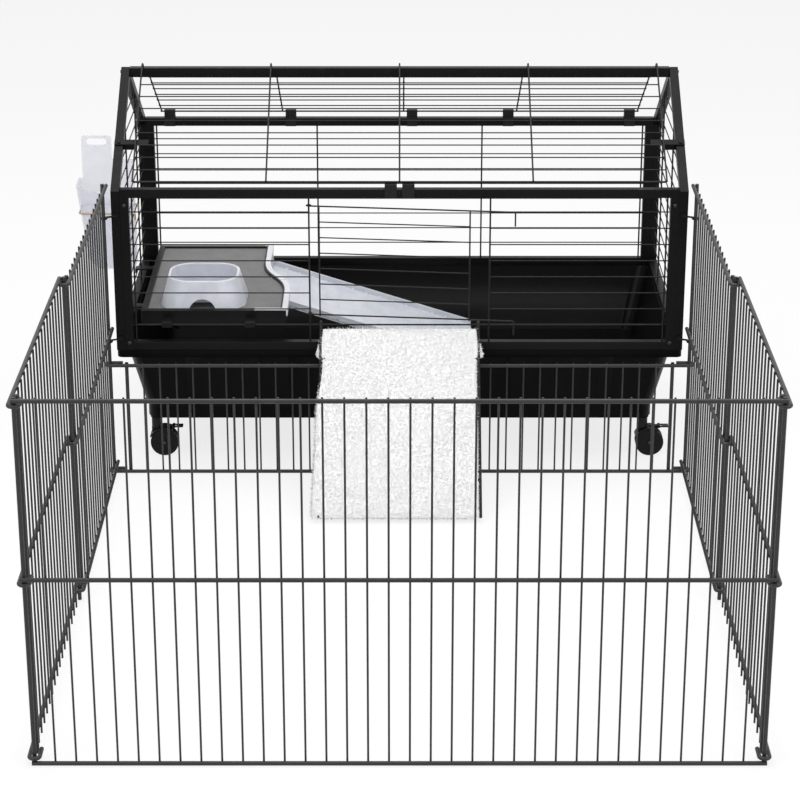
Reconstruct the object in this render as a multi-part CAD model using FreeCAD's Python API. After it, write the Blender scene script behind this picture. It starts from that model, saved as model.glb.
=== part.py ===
"""Small animal cage on casters with a folding wire playpen. Millimetres, +Z up. It is built about the
middle of the cage's front on the floor, Y running to the back, and at the end its origin goes to the
middle of the whole footprint."""
import FreeCAD, Part
import math
import os

V = FreeCAD.Vector
X_AXIS, Y_AXIS, Z_AXIS = V(1, 0, 0), V(0, 1, 0), V(0, 0, 1)
MIDDLE_SHARE = 0.5

# Clearances and cuts
OVERRUN = 2.0
WELD_GAP = 0.05
RUN_GAP = 0.8
SEAT_GAP = 0.3

# Cage frame of square tube
CAGE_WIDTH = 1180.0
CAGE_DEPTH = 584.0
TUBE = 18.0
TUBE_WALL = 1.5
BASE_Z = 267.0
EAVE_Z = 615.0
RIDGE_Z = 799.0
RIDGE_TUBE = 20.0
SCREW_HEAD_RADIUS = 4.0
SCREW_HEAD_HEIGHT = 2.5
SCREW_DROP = 16.0

# Grilles of the cage
WIRE_RADIUS = 1.3
EDGE_WIRE_RADIUS = 1.8
WIRE_PITCH = 35.0
SILL_Z = 320.0
FRONT_WIRES = 8
LID_ROWS = 8
ROOF_ROWS = 6
JAMB_X = 186.0
EDGE_WIRE_INSET = 6.0
SIDE_POST_SHARES = (0.36, 0.7)

# Roof lid and its fittings
LID_SIDE_INSET = 45.0
LID_RIM_RADIUS = 2.2
LID_LIFT = 16.0
LID_CROSS_WIRES = 5
LID_HOOK_TURN = 165.0
LID_EDGE_Y = 5.0
REST_Y = 116.0
REST_WIDTH = 14.0
REST_THICK = 3.0
REST_LAP = 25.0
REST_LUG = (28.0, 14.0)
CATCH_WIDTH = 25.0
CATCH_SPACING = 36.0
CATCH_WALL = 3.0
CLIP_WIDTH = 24.0
CLIP_WALL = 2.5
CLIP_ASIDE = 19.0
ROOF_RIM_LIFT = 14.0
ROOF_WIRE_ASIDE = 9.0

# Door
DOOR_LEFT = -164.0
DOOR_RIGHT = 146.0
DOOR_BOTTOM = 346.0
DOOR_TOP = 580.0
DOOR_BARS = 6
DOOR_WIRE_RADIUS = 1.6
DOOR_LATCH_X = 238.0
DOOR_LATCH_DROP = 30.0
DOOR_AJAR = 6.0
DOOR_EYE_TURN = 300.0

# Tray
RIM_HEIGHT = 16.0
RIM_CORNER = 12.0
TRAY_TOP_INSET = 16.0
TRAY_FOOT_INSET = 50.0
TRAY_WALL = 3.0
TRAY_CORNER = 34.0
TRAY_FLOOR_Z = 122.0
SKIRT_Z = 94.0
SKIRT_INSET = 53.0
SKIRT_WALL = 4.0
FLUTE_PITCH = 62.0
FLUTE_DEPTH = 2.0
FLUTE_WIDTH = 30.0
BOSS_RADIUS = 13.0
BOSS_DROP = 8.0

# Casters
CASTER_X = 521.0
CASTER_FRONT_Y = 84.0
CASTER_TRAIL = 16.0
WHEEL_RADIUS = 30.0
WHEEL_WIDTH = 11.0
WHEEL_ROUND = 3.0
HUB_RADIUS = 13.0
HUB_DEPTH = 2.0
AXLE_RADIUS = 3.0
WEB_WIDTH = 8.0
STEM_RADIUS = 5.5
STEM_LENGTH = 24.0
NECK_RADIUS = 11.0
FENDER_WALL = 3.0
PEDAL_LENGTH = 20.0
PEDAL_WALL = 3.0
PEDAL_PIN_RADIUS = 1.8

# Platform with its S-shaped right edge
DECK_Z = 340.0
DECK_LEFT = -541.0
DECK_RIGHT_FRONT = -238.0
DECK_RIGHT_BACK = -288.0
DECK_FRONT = 42.0
DECK_BACK = 490.0
DECK_APRON = 34.0
DECK_WALL = 3.0
DECK_BORDER = 12.0
DECK_RECESS = 4.0
DECK_SWING_SHARES = (0.27, 0.72)
DECK_TAB_SHARES = (0.15, 0.72)
TAB_WIDTH = 22.0
TAB_THICK = 3.5

# Bowl
BOWL_HEIGHT = 58.0
BOWL_BASE = (181.0, 160.0)
BOWL_TOP = (149.0, 128.0)
BOWL_CORNER = 48.0
BOWL_WALL = 2.5
BOWL_DISH_DEPTH = 46.0
BOWL_X = -414.0
BOWL_Y = 134.0
BOWL_NOTCH_RADIUS = 29.0
BOWL_NOTCH_HEIGHT = 22.0

# Inner ramp
SLIDE_DROP_SHARE = 0.32
SLIDE_TOP_Z = 298.0
SLIDE_END_X = 162.0
SLIDE_NEAR_Y = 236.0
SLIDE_FAR_Y = 480.0
SLIDE_THICK = 4.0
SLIDE_FLANGE = 12.0
SLIDE_WALL = 3.0
SLIDE_RIBS = 14
SLIDE_RIB_HEIGHT = 3.0
SLIDE_RIB_WIDTH = 5.0
SLIDE_LIP = 8.0

# Outer ramp: a wire frame with a plush cover
RAMP_HALF_WIDTH = 164.0
RAMP_ROD_RADIUS = 3.0
RAMP_FOOT_Y = -276.0
RAMP_COVER_HALF_WIDTH = 160.5
RAMP_COVER_THICK = 16.0
RAMP_COVER_EDGE = 5.0
RAMP_COVER_CROWN = 3.0
RAMP_COVER_START = 13.0
RAMP_COVER_END = 14.0
RAMP_RUNGS = 3
RAMP_HOOK_TURN = 225.0

# Hay feeder on the left side
HAY_REACH = 115.0
HAY_FRONT_Y = 330.0
HAY_LENGTH = 68.0
HAY_Z = 335.0
HAY_HEIGHT = 287.0
HAY_SHOULDER_HEIGHT = 233.0
HAY_TAB = 66.0
HAY_TAB_CORNER = 9.0
HAY_LIP_HEIGHT = 192.0
HAY_LIP_FALL = 46.0
HAY_FOOT = 97.0
HAY_FOOT_ROUND = 34.0
HAY_WALL = 2.5
HAY_WINDOW_SHARE = 0.7
HAY_WINDOW_Z_SHARES = (0.2, 0.66)
HAY_SLOT = (44.0, 14.0)
HAY_SLOT_DROP = 15.0
HAY_WIRE_RADIUS = 2.0
HAY_CORNER = 6.0
HAY_HOOK_ROW = 4
HAY_HOOK_DROP = 14.0

# Playpen
PEN_GAP = 34.5
PEN_FRONT_COUNT = 35
PEN_SIDE_COUNT = 17
PEN_LOW_COUNT = 33
PEN_HEIGHT = 650.0
PEN_LOW_HEIGHT = 246.0
PEN_MID_SHARE = 0.52
PEN_ROD_RADIUS = 3.8
PEN_WIRE_RADIUS = 1.8
PEN_STEP = 9.0
PEN_LOOP_GAP = 0.8
PEN_REAR_Y = -18.0
PEN_RETURN_SHARE = 0.75
EYE_WIRE_RADIUS = 2.0
EYE_Z_SHARES = (0.115, 0.775)
EYE_TURN = 270.0
EYE_PLATE = 3.0

# Values worked out from the above
HALF_W = CAGE_WIDTH / 2
LID_HALF_WIDTH = HALF_W - LID_SIDE_INSET
INNER_X = HALF_W - 2 * TUBE
MID_Y = CAGE_DEPTH / 2
RIDGE_AXIS_Z = RIDGE_Z - RIDGE_TUBE / 2
GRILLE_Y = TUBE / 2
JAMB_Y = GRILLE_Y - WIRE_RADIUS - EDGE_WIRE_RADIUS - WELD_GAP
PEN_X = PEN_FRONT_COUNT * PEN_GAP / 2
PEN_PANEL = (PEN_SIDE_COUNT + 1) * PEN_GAP
PEN_LOOP_RADIUS = 2 * PEN_ROD_RADIUS + PEN_LOOP_GAP
PEN_SEAT = 2 * PEN_ROD_RADIUS + 2 * WELD_GAP
LID_HOOK_RADIUS = RIDGE_TUBE / math.sqrt(2) + RUN_GAP + EDGE_WIRE_RADIUS
RAMP_HOOK_RADIUS = EDGE_WIRE_RADIUS + RUN_GAP + RAMP_ROD_RADIUS
DOOR_EYE_RADIUS = EDGE_WIRE_RADIUS + RUN_GAP + DOOR_WIRE_RADIUS
STEM_BORE = STEM_RADIUS + SEAT_GAP
FLOOR_TOP_Z = TRAY_FLOOR_Z + TRAY_WALL


def box(x0, x1, y0, y1, z0, z1):
    return Part.makeBox(x1 - x0, y1 - y0, z1 - z0, V(x0, y0, z0))


def rod(start, end, radius):
    run = end.sub(start)
    return Part.makeCylinder(radius, run.Length, start, run)


def swept(edges, radius):
    """A round rod along joined straight and round edges."""
    path = Part.Wire(edges)
    start = edges[0].valueAt(edges[0].FirstParameter)
    along = edges[0].tangentAt(edges[0].FirstParameter)
    section = Part.Wire(Part.makeCircle(radius, start, along))
    return path.makePipeShell([section], True, False)


def turn(centre, arm, axis, degrees):
    """Points at the start, middle and end of an arc that an arm sweeps about an axis."""
    spots = []
    for share in (0, MIDDLE_SHARE, 1):
        spots.append(centre.add(FreeCAD.Rotation(axis, degrees * share).multVec(arm)))
    return spots


def arc(spots):
    return Part.Arc(*spots).toShape()


def bent_rod(points, radius, bend):
    """A rod through points with its corners rounded to the given bend radius."""
    edges = []
    start = points[0]
    for before, corner, after in zip(points, points[1:], points[2:]):
        u = before.sub(corner).normalize()
        w = after.sub(corner).normalize()
        half = u.getAngle(w) / 2
        back = bend / math.tan(half)
        first, last = corner.add(u * back), corner.add(w * back)
        bisector = u.add(w).normalize()
        centre = corner.add(bisector * (bend / math.sin(half)))
        middle = centre.sub(bisector * bend)
        edges.append(Part.LineSegment(start, first).toShape())
        edges.append(Part.Arc(first, middle, last).toShape())
        start = last
    edges.append(Part.LineSegment(start, points[-1]).toShape())
    return swept(edges, radius)


def offset_line(points, distance):
    """A 2-D polyline moved sideways, with mitred corners."""
    moved = []
    for i, (u, w) in enumerate(points):
        normals = []
        for a, b in ((i - 1, i), (i, i + 1)):
            if a >= 0 and b < len(points):
                du, dw = points[b][0] - points[a][0], points[b][1] - points[a][1]
                size = math.hypot(du, dw)
                normals.append((-dw / size, du / size))
        nu = sum(n[0] for n in normals) / len(normals)
        nw = sum(n[1] for n in normals) / len(normals)
        scale = distance / (nu * nu + nw * nw)
        moved.append((u + nu * scale, w + nw * scale))
    return moved


def tube_frame(points, place, depth_axis):
    """A bent square tube in a plane along its centre line; place turns (u, w, depth) into a vector."""
    def band(half_width, half_depth, stretch):
        line = list(points)
        if stretch:
            line[0] = (line[0][0], line[0][1] - stretch)
            line[-1] = (line[-1][0], line[-1][1] - stretch)
        outline = offset_line(line, half_width) + offset_line(line, -half_width)[::-1]
        corners = [place(u, w, -half_depth) for u, w in outline]
        face = Part.Face(Part.makePolygon(corners + corners[:1]))
        return face.extrude(depth_axis * (2 * half_depth))
    half = TUBE / 2
    return band(half, half, 0).cut(band(half - TUBE_WALL, half - TUBE_WALL, OVERRUN))


def square_tube(x0, x1, y0, y1, z0, z1, axis):
    """A straight square tube, open at both ends."""
    grow = [(-OVERRUN if i == axis else TUBE_WALL) for i in range(3)]
    outer = box(x0, x1, y0, y1, z0, z1)
    inner = box(x0 + grow[0], x1 - grow[0], y0 + grow[1], y1 - grow[1], z0 + grow[2], z1 - grow[2])
    return outer.cut(inner)


def rounded_wire(half_x, half_y, corner, z, x=0.0, y=0.0):
    """A rectangle with round corners, lying flat."""
    flat = Part.makePlane(2 * half_x, 2 * half_y, V(x - half_x, y - half_y, z))
    solid = flat.extrude(Z_AXIS * corner)
    edges = [e for e in solid.Edges if abs(e.tangentAt(e.FirstParameter).z) > MIDDLE_SHARE]
    rounded = solid.makeFillet(corner, edges)
    face = min(rounded.Faces, key=lambda f: f.CenterOfMass.z)
    return face.OuterWire


def rounded_block(half_x, half_y, corner, z0, z1, x=0.0, y=0.0):
    return Part.Face(rounded_wire(half_x, half_y, corner, z0, x, y)).extrude(Z_AXIS * (z1 - z0))


def row_z(i):
    """Height of a row of the grilles, counted from the sill."""
    return SILL_Z + WIRE_PITCH * i


PARTS = {}

# Side frames: upright, two rafters and upright bent from one tube
WALL_TOP = EAVE_Z - TUBE / 2
for side, name in ((-1, "left"), (1, "right")):
    centre_x = side * (HALF_W - TUBE / 2)
    gable = [(TUBE / 2, BASE_Z), (TUBE / 2, WALL_TOP), (MID_Y, RIDGE_AXIS_Z),
             (CAGE_DEPTH - TUBE / 2, WALL_TOP), (CAGE_DEPTH - TUBE / 2, BASE_Z)]
    PARTS["side_frame_" + name] = tube_frame(gable, lambda u, w, d: V(centre_x + d, u, w), X_AXIS)
    PARTS["side_base_rail_" + name] = square_tube(centre_x - TUBE / 2, centre_x + TUBE / 2, TUBE,
                                                  CAGE_DEPTH - TUBE, BASE_Z, BASE_Z + TUBE, 1)

# Front and rear frames: an eave rail on two uprights, with a base rail between them
for name, y0 in (("front", 0.0), ("rear", CAGE_DEPTH - TUBE)):
    post_x = INNER_X + TUBE / 2
    yoke = [(-post_x, BASE_Z), (-post_x, WALL_TOP), (post_x, WALL_TOP), (post_x, BASE_Z)]
    PARTS[name + "_frame"] = tube_frame(yoke, lambda u, w, d: V(u, y0 + TUBE / 2 + d, w), Y_AXIS)
    PARTS[name + "_base_rail"] = square_tube(-INNER_X, INNER_X, y0, y0 + TUBE, BASE_Z, BASE_Z + TUBE, 0)

ridge_half = RIDGE_TUBE / 2
PARTS["ridge_beam"] = square_tube(-HALF_W + TUBE, HALF_W - TUBE, MID_Y - ridge_half, MID_Y + ridge_half,
                                  RIDGE_Z - RIDGE_TUBE, RIDGE_Z, 0)

# Screws through the uprights and at the ends of the ridge
screws = []
for sx in (-1, 1):
    x = sx * (INNER_X + TUBE / 2)
    for y, out in ((0.0, V(0, -1, 0)), (CAGE_DEPTH, Y_AXIS)):
        for z in (EAVE_Z - TUBE - SCREW_DROP, BASE_Z + SCREW_DROP):
            screws.append(Part.makeCylinder(SCREW_HEAD_RADIUS, SCREW_HEAD_HEIGHT, V(x, y, z), out))
    screws.append(Part.makeCylinder(SCREW_HEAD_RADIUS, SCREW_HEAD_HEIGHT, V(sx * HALF_W, MID_Y, RIDGE_AXIS_Z),
                                    V(sx, 0, 0)))
PARTS["frame_screws"] = Part.makeCompound(screws)

# Grilles of welded wire: rows run between the tubes, thicker uprights lie on them
wall_foot = BASE_Z + TUBE
wall_head = EAVE_Z - TUBE


def upright(x, y, radius, z0=wall_foot, z1=wall_head):
    return rod(V(x, y, z0), V(x, y, z1), radius)


edge_x = INNER_X - EDGE_WIRE_INSET
for side, name in ((-1, "left"), (1, "right")):
    wires = [upright(side * x, JAMB_Y, EDGE_WIRE_RADIUS) for x in (edge_x, JAMB_X)]
    for i in range(1, FRONT_WIRES):
        z = row_z(i)
        wires.append(rod(V(side * INNER_X, GRILLE_Y, z), V(side * JAMB_X, GRILLE_Y, z), WIRE_RADIUS))
    PARTS["front_grille_" + name] = Part.makeCompound(wires)
sill_y = JAMB_Y + 2 * EDGE_WIRE_RADIUS + WELD_GAP
PARTS["front_sill_wire"] = rod(V(-INNER_X, sill_y, SILL_Z), V(INNER_X, sill_y, SILL_Z), EDGE_WIRE_RADIUS)

rear_y = CAGE_DEPTH - GRILLE_Y
rear_post_y = 2 * rear_y - CAGE_DEPTH + JAMB_Y
wires = []
for x in (-edge_x, -JAMB_X, JAMB_X, edge_x):
    wires.append(upright(x, rear_post_y, EDGE_WIRE_RADIUS))
for i in range(FRONT_WIRES):
    wires.append(rod(V(-INNER_X, rear_y, row_z(i)), V(INNER_X, rear_y, row_z(i)), WIRE_RADIUS))
PARTS["rear_grille"] = Part.makeCompound(wires)

rafter_rise = (RIDGE_AXIS_Z - WALL_TOP) / (MID_Y - TUBE / 2)
rafter_half = TUBE / 2 * math.hypot(1, rafter_rise)


def gable_under(y):
    """Height of the rafters' underside at a depth."""
    near = min(y, CAGE_DEPTH - y)
    return WALL_TOP + (near - TUBE / 2) * rafter_rise - rafter_half


side_rows = int((gable_under(MID_Y) - SILL_Z) // WIRE_PITCH) - 1
for side, name in ((-1, "left"), (1, "right")):
    grille_x = side * (HALF_W - TUBE / 2)
    wires = []
    for i in range(side_rows):
        z = row_z(i)
        reach = TUBE / 2 + (z + WIRE_RADIUS + WELD_GAP + rafter_half - WALL_TOP) / rafter_rise
        near = max(TUBE, reach)
        wires.append(rod(V(grille_x, near, z), V(grille_x, CAGE_DEPTH - near, z), WIRE_RADIUS))
    lean = side * (WIRE_RADIUS + EDGE_WIRE_RADIUS + WELD_GAP)
    for share in SIDE_POST_SHARES:
        y = CAGE_DEPTH * share
        head = gable_under(y) - EDGE_WIRE_RADIUS * rafter_rise
        wires.append(upright(grille_x - lean, y, EDGE_WIRE_RADIUS, wall_foot, head))
    PARTS["side_grille_" + name] = Part.makeCompound(wires)

# Rear roof grille: cross wires from the ridge to a rim wire above the rear eave, rows under them
slope = math.atan(rafter_rise)
roof_head = V(0, MID_Y + ridge_half + EDGE_WIRE_RADIUS * math.sin(slope) + WELD_GAP,
              RIDGE_AXIS_Z + EDGE_WIRE_RADIUS)
roof_rim = V(0, CAGE_DEPTH - TUBE / 2, EAVE_Z + ROOF_RIM_LIFT)
roof_fall = roof_rim.sub(roof_head).normalize()
off_roof = V(0, -roof_fall.z, roof_fall.y)
roof_tail = roof_rim.add(off_roof * (2 * EDGE_WIRE_RADIUS + WELD_GAP))
roof_run = roof_tail.sub(roof_head).Length
lean_back = roof_tail.sub(roof_head).normalize()
off_lean = V(0, -lean_back.z, lean_back.y)
roof_spacing = 2 * LID_HALF_WIDTH / (LID_CROSS_WIRES - 1)
roof_half = LID_HALF_WIDTH - ROOF_WIRE_ASIDE + EDGE_WIRE_RADIUS


def inward(i):
    """Which way is inward from a cross wire; the middle one counts as left."""
    return 1 if i < LID_CROSS_WIRES / 2 else -1


def lid_x(i):
    return -LID_HALF_WIDTH + i * roof_spacing


wires = []
for i in range(LID_CROSS_WIRES):
    head = roof_head.add(V(lid_x(i) + inward(i) * ROOF_WIRE_ASIDE, 0, 0))
    wires.append(rod(head, head.add(lean_back * (roof_run + EDGE_WIRE_RADIUS)), EDGE_WIRE_RADIUS))
row_drop = off_lean * (EDGE_WIRE_RADIUS + WIRE_RADIUS + WELD_GAP)
for i in range(1, ROOF_ROWS + 1):
    spot = roof_head.add(lean_back * (roof_run * i / (ROOF_ROWS + 1))).sub(row_drop)
    wires.append(rod(spot.sub(X_AXIS * roof_half), spot.add(X_AXIS * roof_half), WIRE_RADIUS))
wires.append(rod(roof_rim.sub(X_AXIS * roof_half), roof_rim.add(X_AXIS * roof_half), EDGE_WIRE_RADIUS))
PARTS["rear_roof_grille"] = Part.makeCompound(wires)

# Clips on the rear eave: saddles over the tube with a block that the rim wire runs through
clips = []
for i in range(LID_CROSS_WIRES):
    x = lid_x(i) + inward(i) * (ROOF_WIRE_ASIDE + CLIP_ASIDE) - CLIP_WIDTH / 2
    y0, y1 = CAGE_DEPTH - TUBE - CLIP_WALL, CAGE_DEPTH + CLIP_WALL
    clip = box(x, x + CLIP_WIDTH, y0, y1, EAVE_Z - TUBE, EAVE_Z + CLIP_WALL)
    block_half = EDGE_WIRE_RADIUS + 2 * CLIP_WALL
    clip = clip.fuse(box(x, x + CLIP_WIDTH, roof_rim.y - block_half, roof_rim.y + block_half,
                         EAVE_Z, roof_rim.z + EDGE_WIRE_RADIUS + CLIP_WALL))
    clip = clip.cut(box(x - OVERRUN, x + CLIP_WIDTH + OVERRUN, y0 + CLIP_WALL, y1 - CLIP_WALL,
                        EAVE_Z - TUBE - OVERRUN, EAVE_Z))
    bore = rod(V(x - OVERRUN, roof_rim.y, roof_rim.z), V(x + CLIP_WIDTH + OVERRUN, roof_rim.y, roof_rim.z),
               EDGE_WIRE_RADIUS + WELD_GAP)
    clips.append(clip.cut(bore).removeSplitter())
PARTS["rear_eave_clips"] = Part.makeCompound(clips)

# Roof lid: cross wires hook over the ridge beam, rows and a thick front edge lie under them
hinge = V(0, MID_Y, RIDGE_AXIS_Z)
edge = V(0, LID_EDGE_Y, EAVE_Z + LID_LIFT)
arm = edge.sub(hinge)
tilt = math.atan2(hinge.z - edge.z, hinge.y - edge.y) + math.asin(LID_HOOK_RADIUS / arm.Length)
up_lid = V(0, math.cos(tilt), math.sin(tilt))
off_lid = V(0, -math.sin(tilt), math.cos(tilt))
contact = hinge.add(off_lid * LID_HOOK_RADIUS)
lid_run = contact.sub(edge).Length
wires = []
for i in range(LID_CROSS_WIRES):
    shift = V(lid_x(i), 0, 0)
    hook = arc(turn(hinge.add(shift), off_lid * LID_HOOK_RADIUS, X_AXIS, -LID_HOOK_TURN))
    run = Part.LineSegment(contact.sub(up_lid * lid_run).add(shift), contact.add(shift)).toShape()
    wires.append(swept([run, hook], EDGE_WIRE_RADIUS))
lid_drop = off_lid * (EDGE_WIRE_RADIUS + WIRE_RADIUS + WELD_GAP)
row_step = (lid_run - LID_HOOK_RADIUS) / (LID_ROWS + 1)
for i in range(1, LID_ROWS + 1):
    spot = contact.sub(up_lid * (LID_HOOK_RADIUS + row_step * i)).sub(lid_drop)
    wires.append(rod(spot.add(V(-LID_HALF_WIDTH, 0, 0)), spot.add(V(LID_HALF_WIDTH, 0, 0)), WIRE_RADIUS))
rim_drop = off_lid * (EDGE_WIRE_RADIUS + LID_RIM_RADIUS + WELD_GAP)
rim = contact.sub(up_lid * (lid_run - LID_RIM_RADIUS)).sub(rim_drop)
wires.append(rod(rim.add(V(-LID_HALF_WIDTH, 0, 0)), rim.add(V(LID_HALF_WIDTH, 0, 0)), LID_RIM_RADIUS))
PARTS["roof_lid"] = Part.makeCompound(wires)

# Catch clips on the front eave: the lid's edge lies on their top against a rear lip
clips = []
for side in (-1, 1):
    x0 = side * CATCH_SPACING / 2 - CATCH_WIDTH / 2
    x1 = x0 + CATCH_WIDTH
    seat_z = rim.z - LID_RIM_RADIUS - SEAT_GAP
    lip_y = rim.y + LID_RIM_RADIUS + CATCH_WALL
    clip = box(x0, x1, -CATCH_WALL, lip_y + CATCH_WALL, EAVE_Z - TUBE, seat_z)
    clip = clip.fuse(box(x0, x1, lip_y, lip_y + CATCH_WALL, seat_z, rim.z))
    eave = box(x0 - OVERRUN, x1 + OVERRUN, 0.0, TUBE, EAVE_Z - TUBE - OVERRUN, EAVE_Z)
    clips.append(clip.cut(eave).removeSplitter())
PARTS["lid_catch_clips"] = Part.makeCompound(clips)

# Lid rests: bars bolted on the rafters that reach in under the lid's sides, each with a lug below
rest_reach = LID_SIDE_INSET + REST_LAP
for side, name in ((-1, "left"), (1, "right")):
    top = V(0, REST_Y, WALL_TOP + (REST_Y - TUBE / 2) * rafter_rise)
    up_rafter = V(0, math.cos(slope), math.sin(slope))
    off_rafter = V(0, -math.sin(slope), math.cos(slope))
    base = top.add(off_rafter * (TUBE / 2)).sub(up_rafter * (REST_WIDTH / 2))
    outer_x = side * HALF_W
    corner = base.add(V(min(outer_x, outer_x - side * rest_reach), 0, 0))
    along, across = X_AXIS * rest_reach, up_rafter * REST_WIDTH
    outline = [corner, corner.add(along), corner.add(along).add(across), corner.add(across), corner]
    bar = Part.Face(Part.makePolygon(outline)).extrude(off_rafter * REST_THICK)
    bolt = base.add(across * MIDDLE_SHARE).add(off_rafter * REST_THICK)
    bolt = bolt.add(X_AXIS * (outer_x - side * TUBE / 2))
    bar = bar.fuse(Part.makeCylinder(SCREW_HEAD_RADIUS, SCREW_HEAD_HEIGHT, bolt, off_rafter))
    lug_x = side * (HALF_W - TUBE - SEAT_GAP)
    corner = base.add(V(min(lug_x, lug_x - side * REST_LUG[0]), 0, 0))
    along = X_AXIS * REST_LUG[0]
    outline = [corner, corner.add(along), corner.add(along).add(across), corner.add(across), corner]
    lug = Part.Face(Part.makePolygon(outline)).extrude(off_rafter * -REST_LUG[1])
    PARTS["lid_rest_" + name] = bar.fuse(lug).removeSplitter()

# Door: built shut about the left jamb, then swung a little open
door_y = JAMB_Y - DOOR_EYE_RADIUS
jamb = V(-JAMB_X, JAMB_Y, 0)
wires = []
for z in (DOOR_BOTTOM, DOOR_TOP):
    level = jamb.add(V(0, 0, z))
    eye = turn(level, V(0, -DOOR_EYE_RADIUS, 0), Z_AXIS, -DOOR_EYE_TURN)
    bar = Part.LineSegment(V(-JAMB_X, door_y, z), V(DOOR_LATCH_X - DOOR_EYE_RADIUS, door_y, z)).toShape()
    bend_centre = V(DOOR_LATCH_X - DOOR_EYE_RADIUS, door_y, z - DOOR_EYE_RADIUS)
    bend = arc(turn(bend_centre, V(0, 0, DOOR_EYE_RADIUS), Y_AXIS, 90.0))
    tip = Part.LineSegment(V(DOOR_LATCH_X, door_y, z - DOOR_EYE_RADIUS),
                           V(DOOR_LATCH_X, door_y, z - DOOR_LATCH_DROP)).toShape()
    wires.append(swept([arc(eye[::-1]), bar, bend, tip], DOOR_WIRE_RADIUS))
post_y = door_y - 2 * DOOR_WIRE_RADIUS - WELD_GAP
for x in (DOOR_LEFT, DOOR_RIGHT):
    wires.append(rod(V(x, post_y, DOOR_BOTTOM - DOOR_WIRE_RADIUS), V(x, post_y, DOOR_TOP + DOOR_WIRE_RADIUS),
                     DOOR_WIRE_RADIUS))
bar_y = post_y + DOOR_WIRE_RADIUS + WIRE_RADIUS + WELD_GAP
for i in range(1, DOOR_BARS + 1):
    z = DOOR_BOTTOM + (DOOR_TOP - DOOR_BOTTOM) * i / (DOOR_BARS + 1)
    wires.append(rod(V(DOOR_LEFT - DOOR_WIRE_RADIUS, bar_y, z), V(DOOR_RIGHT + DOOR_WIRE_RADIUS, bar_y, z),
                     WIRE_RADIUS))
door = Part.makeCompound(wires)
door.rotate(jamb, Z_AXIS, -DOOR_AJAR)
PARTS["door"] = door

# Tray: tapered bath with a flat rim under the frame, a skirt and four caster bosses
def bath(shrink, z0, z1):
    wires = []
    for z in (z0, z1):
        share = (BASE_Z - z) / (BASE_Z - TRAY_FLOOR_Z)
        inset = TRAY_TOP_INSET + (TRAY_FOOT_INSET - TRAY_TOP_INSET) * share + shrink
        wires.append(rounded_wire(HALF_W - inset, MID_Y - inset, TRAY_CORNER - shrink, z, 0.0, MID_Y))
    return Part.makeLoft(wires, True, True)


rim_bottom = BASE_Z - RIM_HEIGHT
tray = rounded_block(HALF_W, MID_Y, RIM_CORNER, rim_bottom, BASE_Z, 0.0, MID_Y)
tray = tray.fuse(bath(0.0, TRAY_FLOOR_Z, BASE_Z))
skirt_x, skirt_y = HALF_W - SKIRT_INSET, MID_Y - SKIRT_INSET
skirt_corner = TRAY_CORNER - TRAY_WALL
skirt = rounded_block(skirt_x, skirt_y, skirt_corner, SKIRT_Z, TRAY_FLOOR_Z, 0.0, MID_Y)
skirt_inside = rounded_block(skirt_x - SKIRT_WALL, skirt_y - SKIRT_WALL, skirt_corner - SKIRT_WALL,
                             SKIRT_Z - OVERRUN, TRAY_FLOOR_Z, 0.0, MID_Y)
tray = tray.fuse(skirt.cut(skirt_inside))
caster_spots = {"front_left": (-CASTER_X, CASTER_FRONT_Y), "front_right": (CASTER_X, CASTER_FRONT_Y),
                "rear_left": (-CASTER_X, CAGE_DEPTH - CASTER_FRONT_Y),
                "rear_right": (CASTER_X, CAGE_DEPTH - CASTER_FRONT_Y)}
boss_z = SKIRT_Z - BOSS_DROP
for x, y in caster_spots.values():
    tray = tray.fuse(Part.makeCylinder(BOSS_RADIUS, TRAY_FLOOR_Z - boss_z, V(x, y, boss_z)))
tray = tray.cut(bath(TRAY_WALL, FLOOR_TOP_Z, BASE_Z + OVERRUN))
flutes = int((HALF_W - TRAY_FOOT_INSET - 2 * TRAY_CORNER) // FLUTE_PITCH)
foot_y = TRAY_FOOT_INSET
band = bath(-FLUTE_DEPTH, TRAY_FLOOR_Z, BASE_Z)
band = band.cut(bath(TRAY_WALL / 2, TRAY_FLOOR_Z - OVERRUN, BASE_Z + OVERRUN))
ribs = []
for i in range(-flutes, flutes + 1):
    x = i * FLUTE_PITCH - FLUTE_WIDTH / 2
    for y0, y1 in ((0.0, foot_y), (CAGE_DEPTH - foot_y, CAGE_DEPTH)):
        rib = box(x, x + FLUTE_WIDTH, y0, y1, TRAY_FLOOR_Z + RIM_HEIGHT, rim_bottom)
        ribs.append(rib.common(band))
tray = tray.multiFuse(ribs)
for x, y in caster_spots.values():
    tray = tray.cut(Part.makeCylinder(STEM_BORE, STEM_LENGTH + SEAT_GAP, V(x, y, boss_z)))
PARTS["tray"] = tray.removeSplitter()

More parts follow.
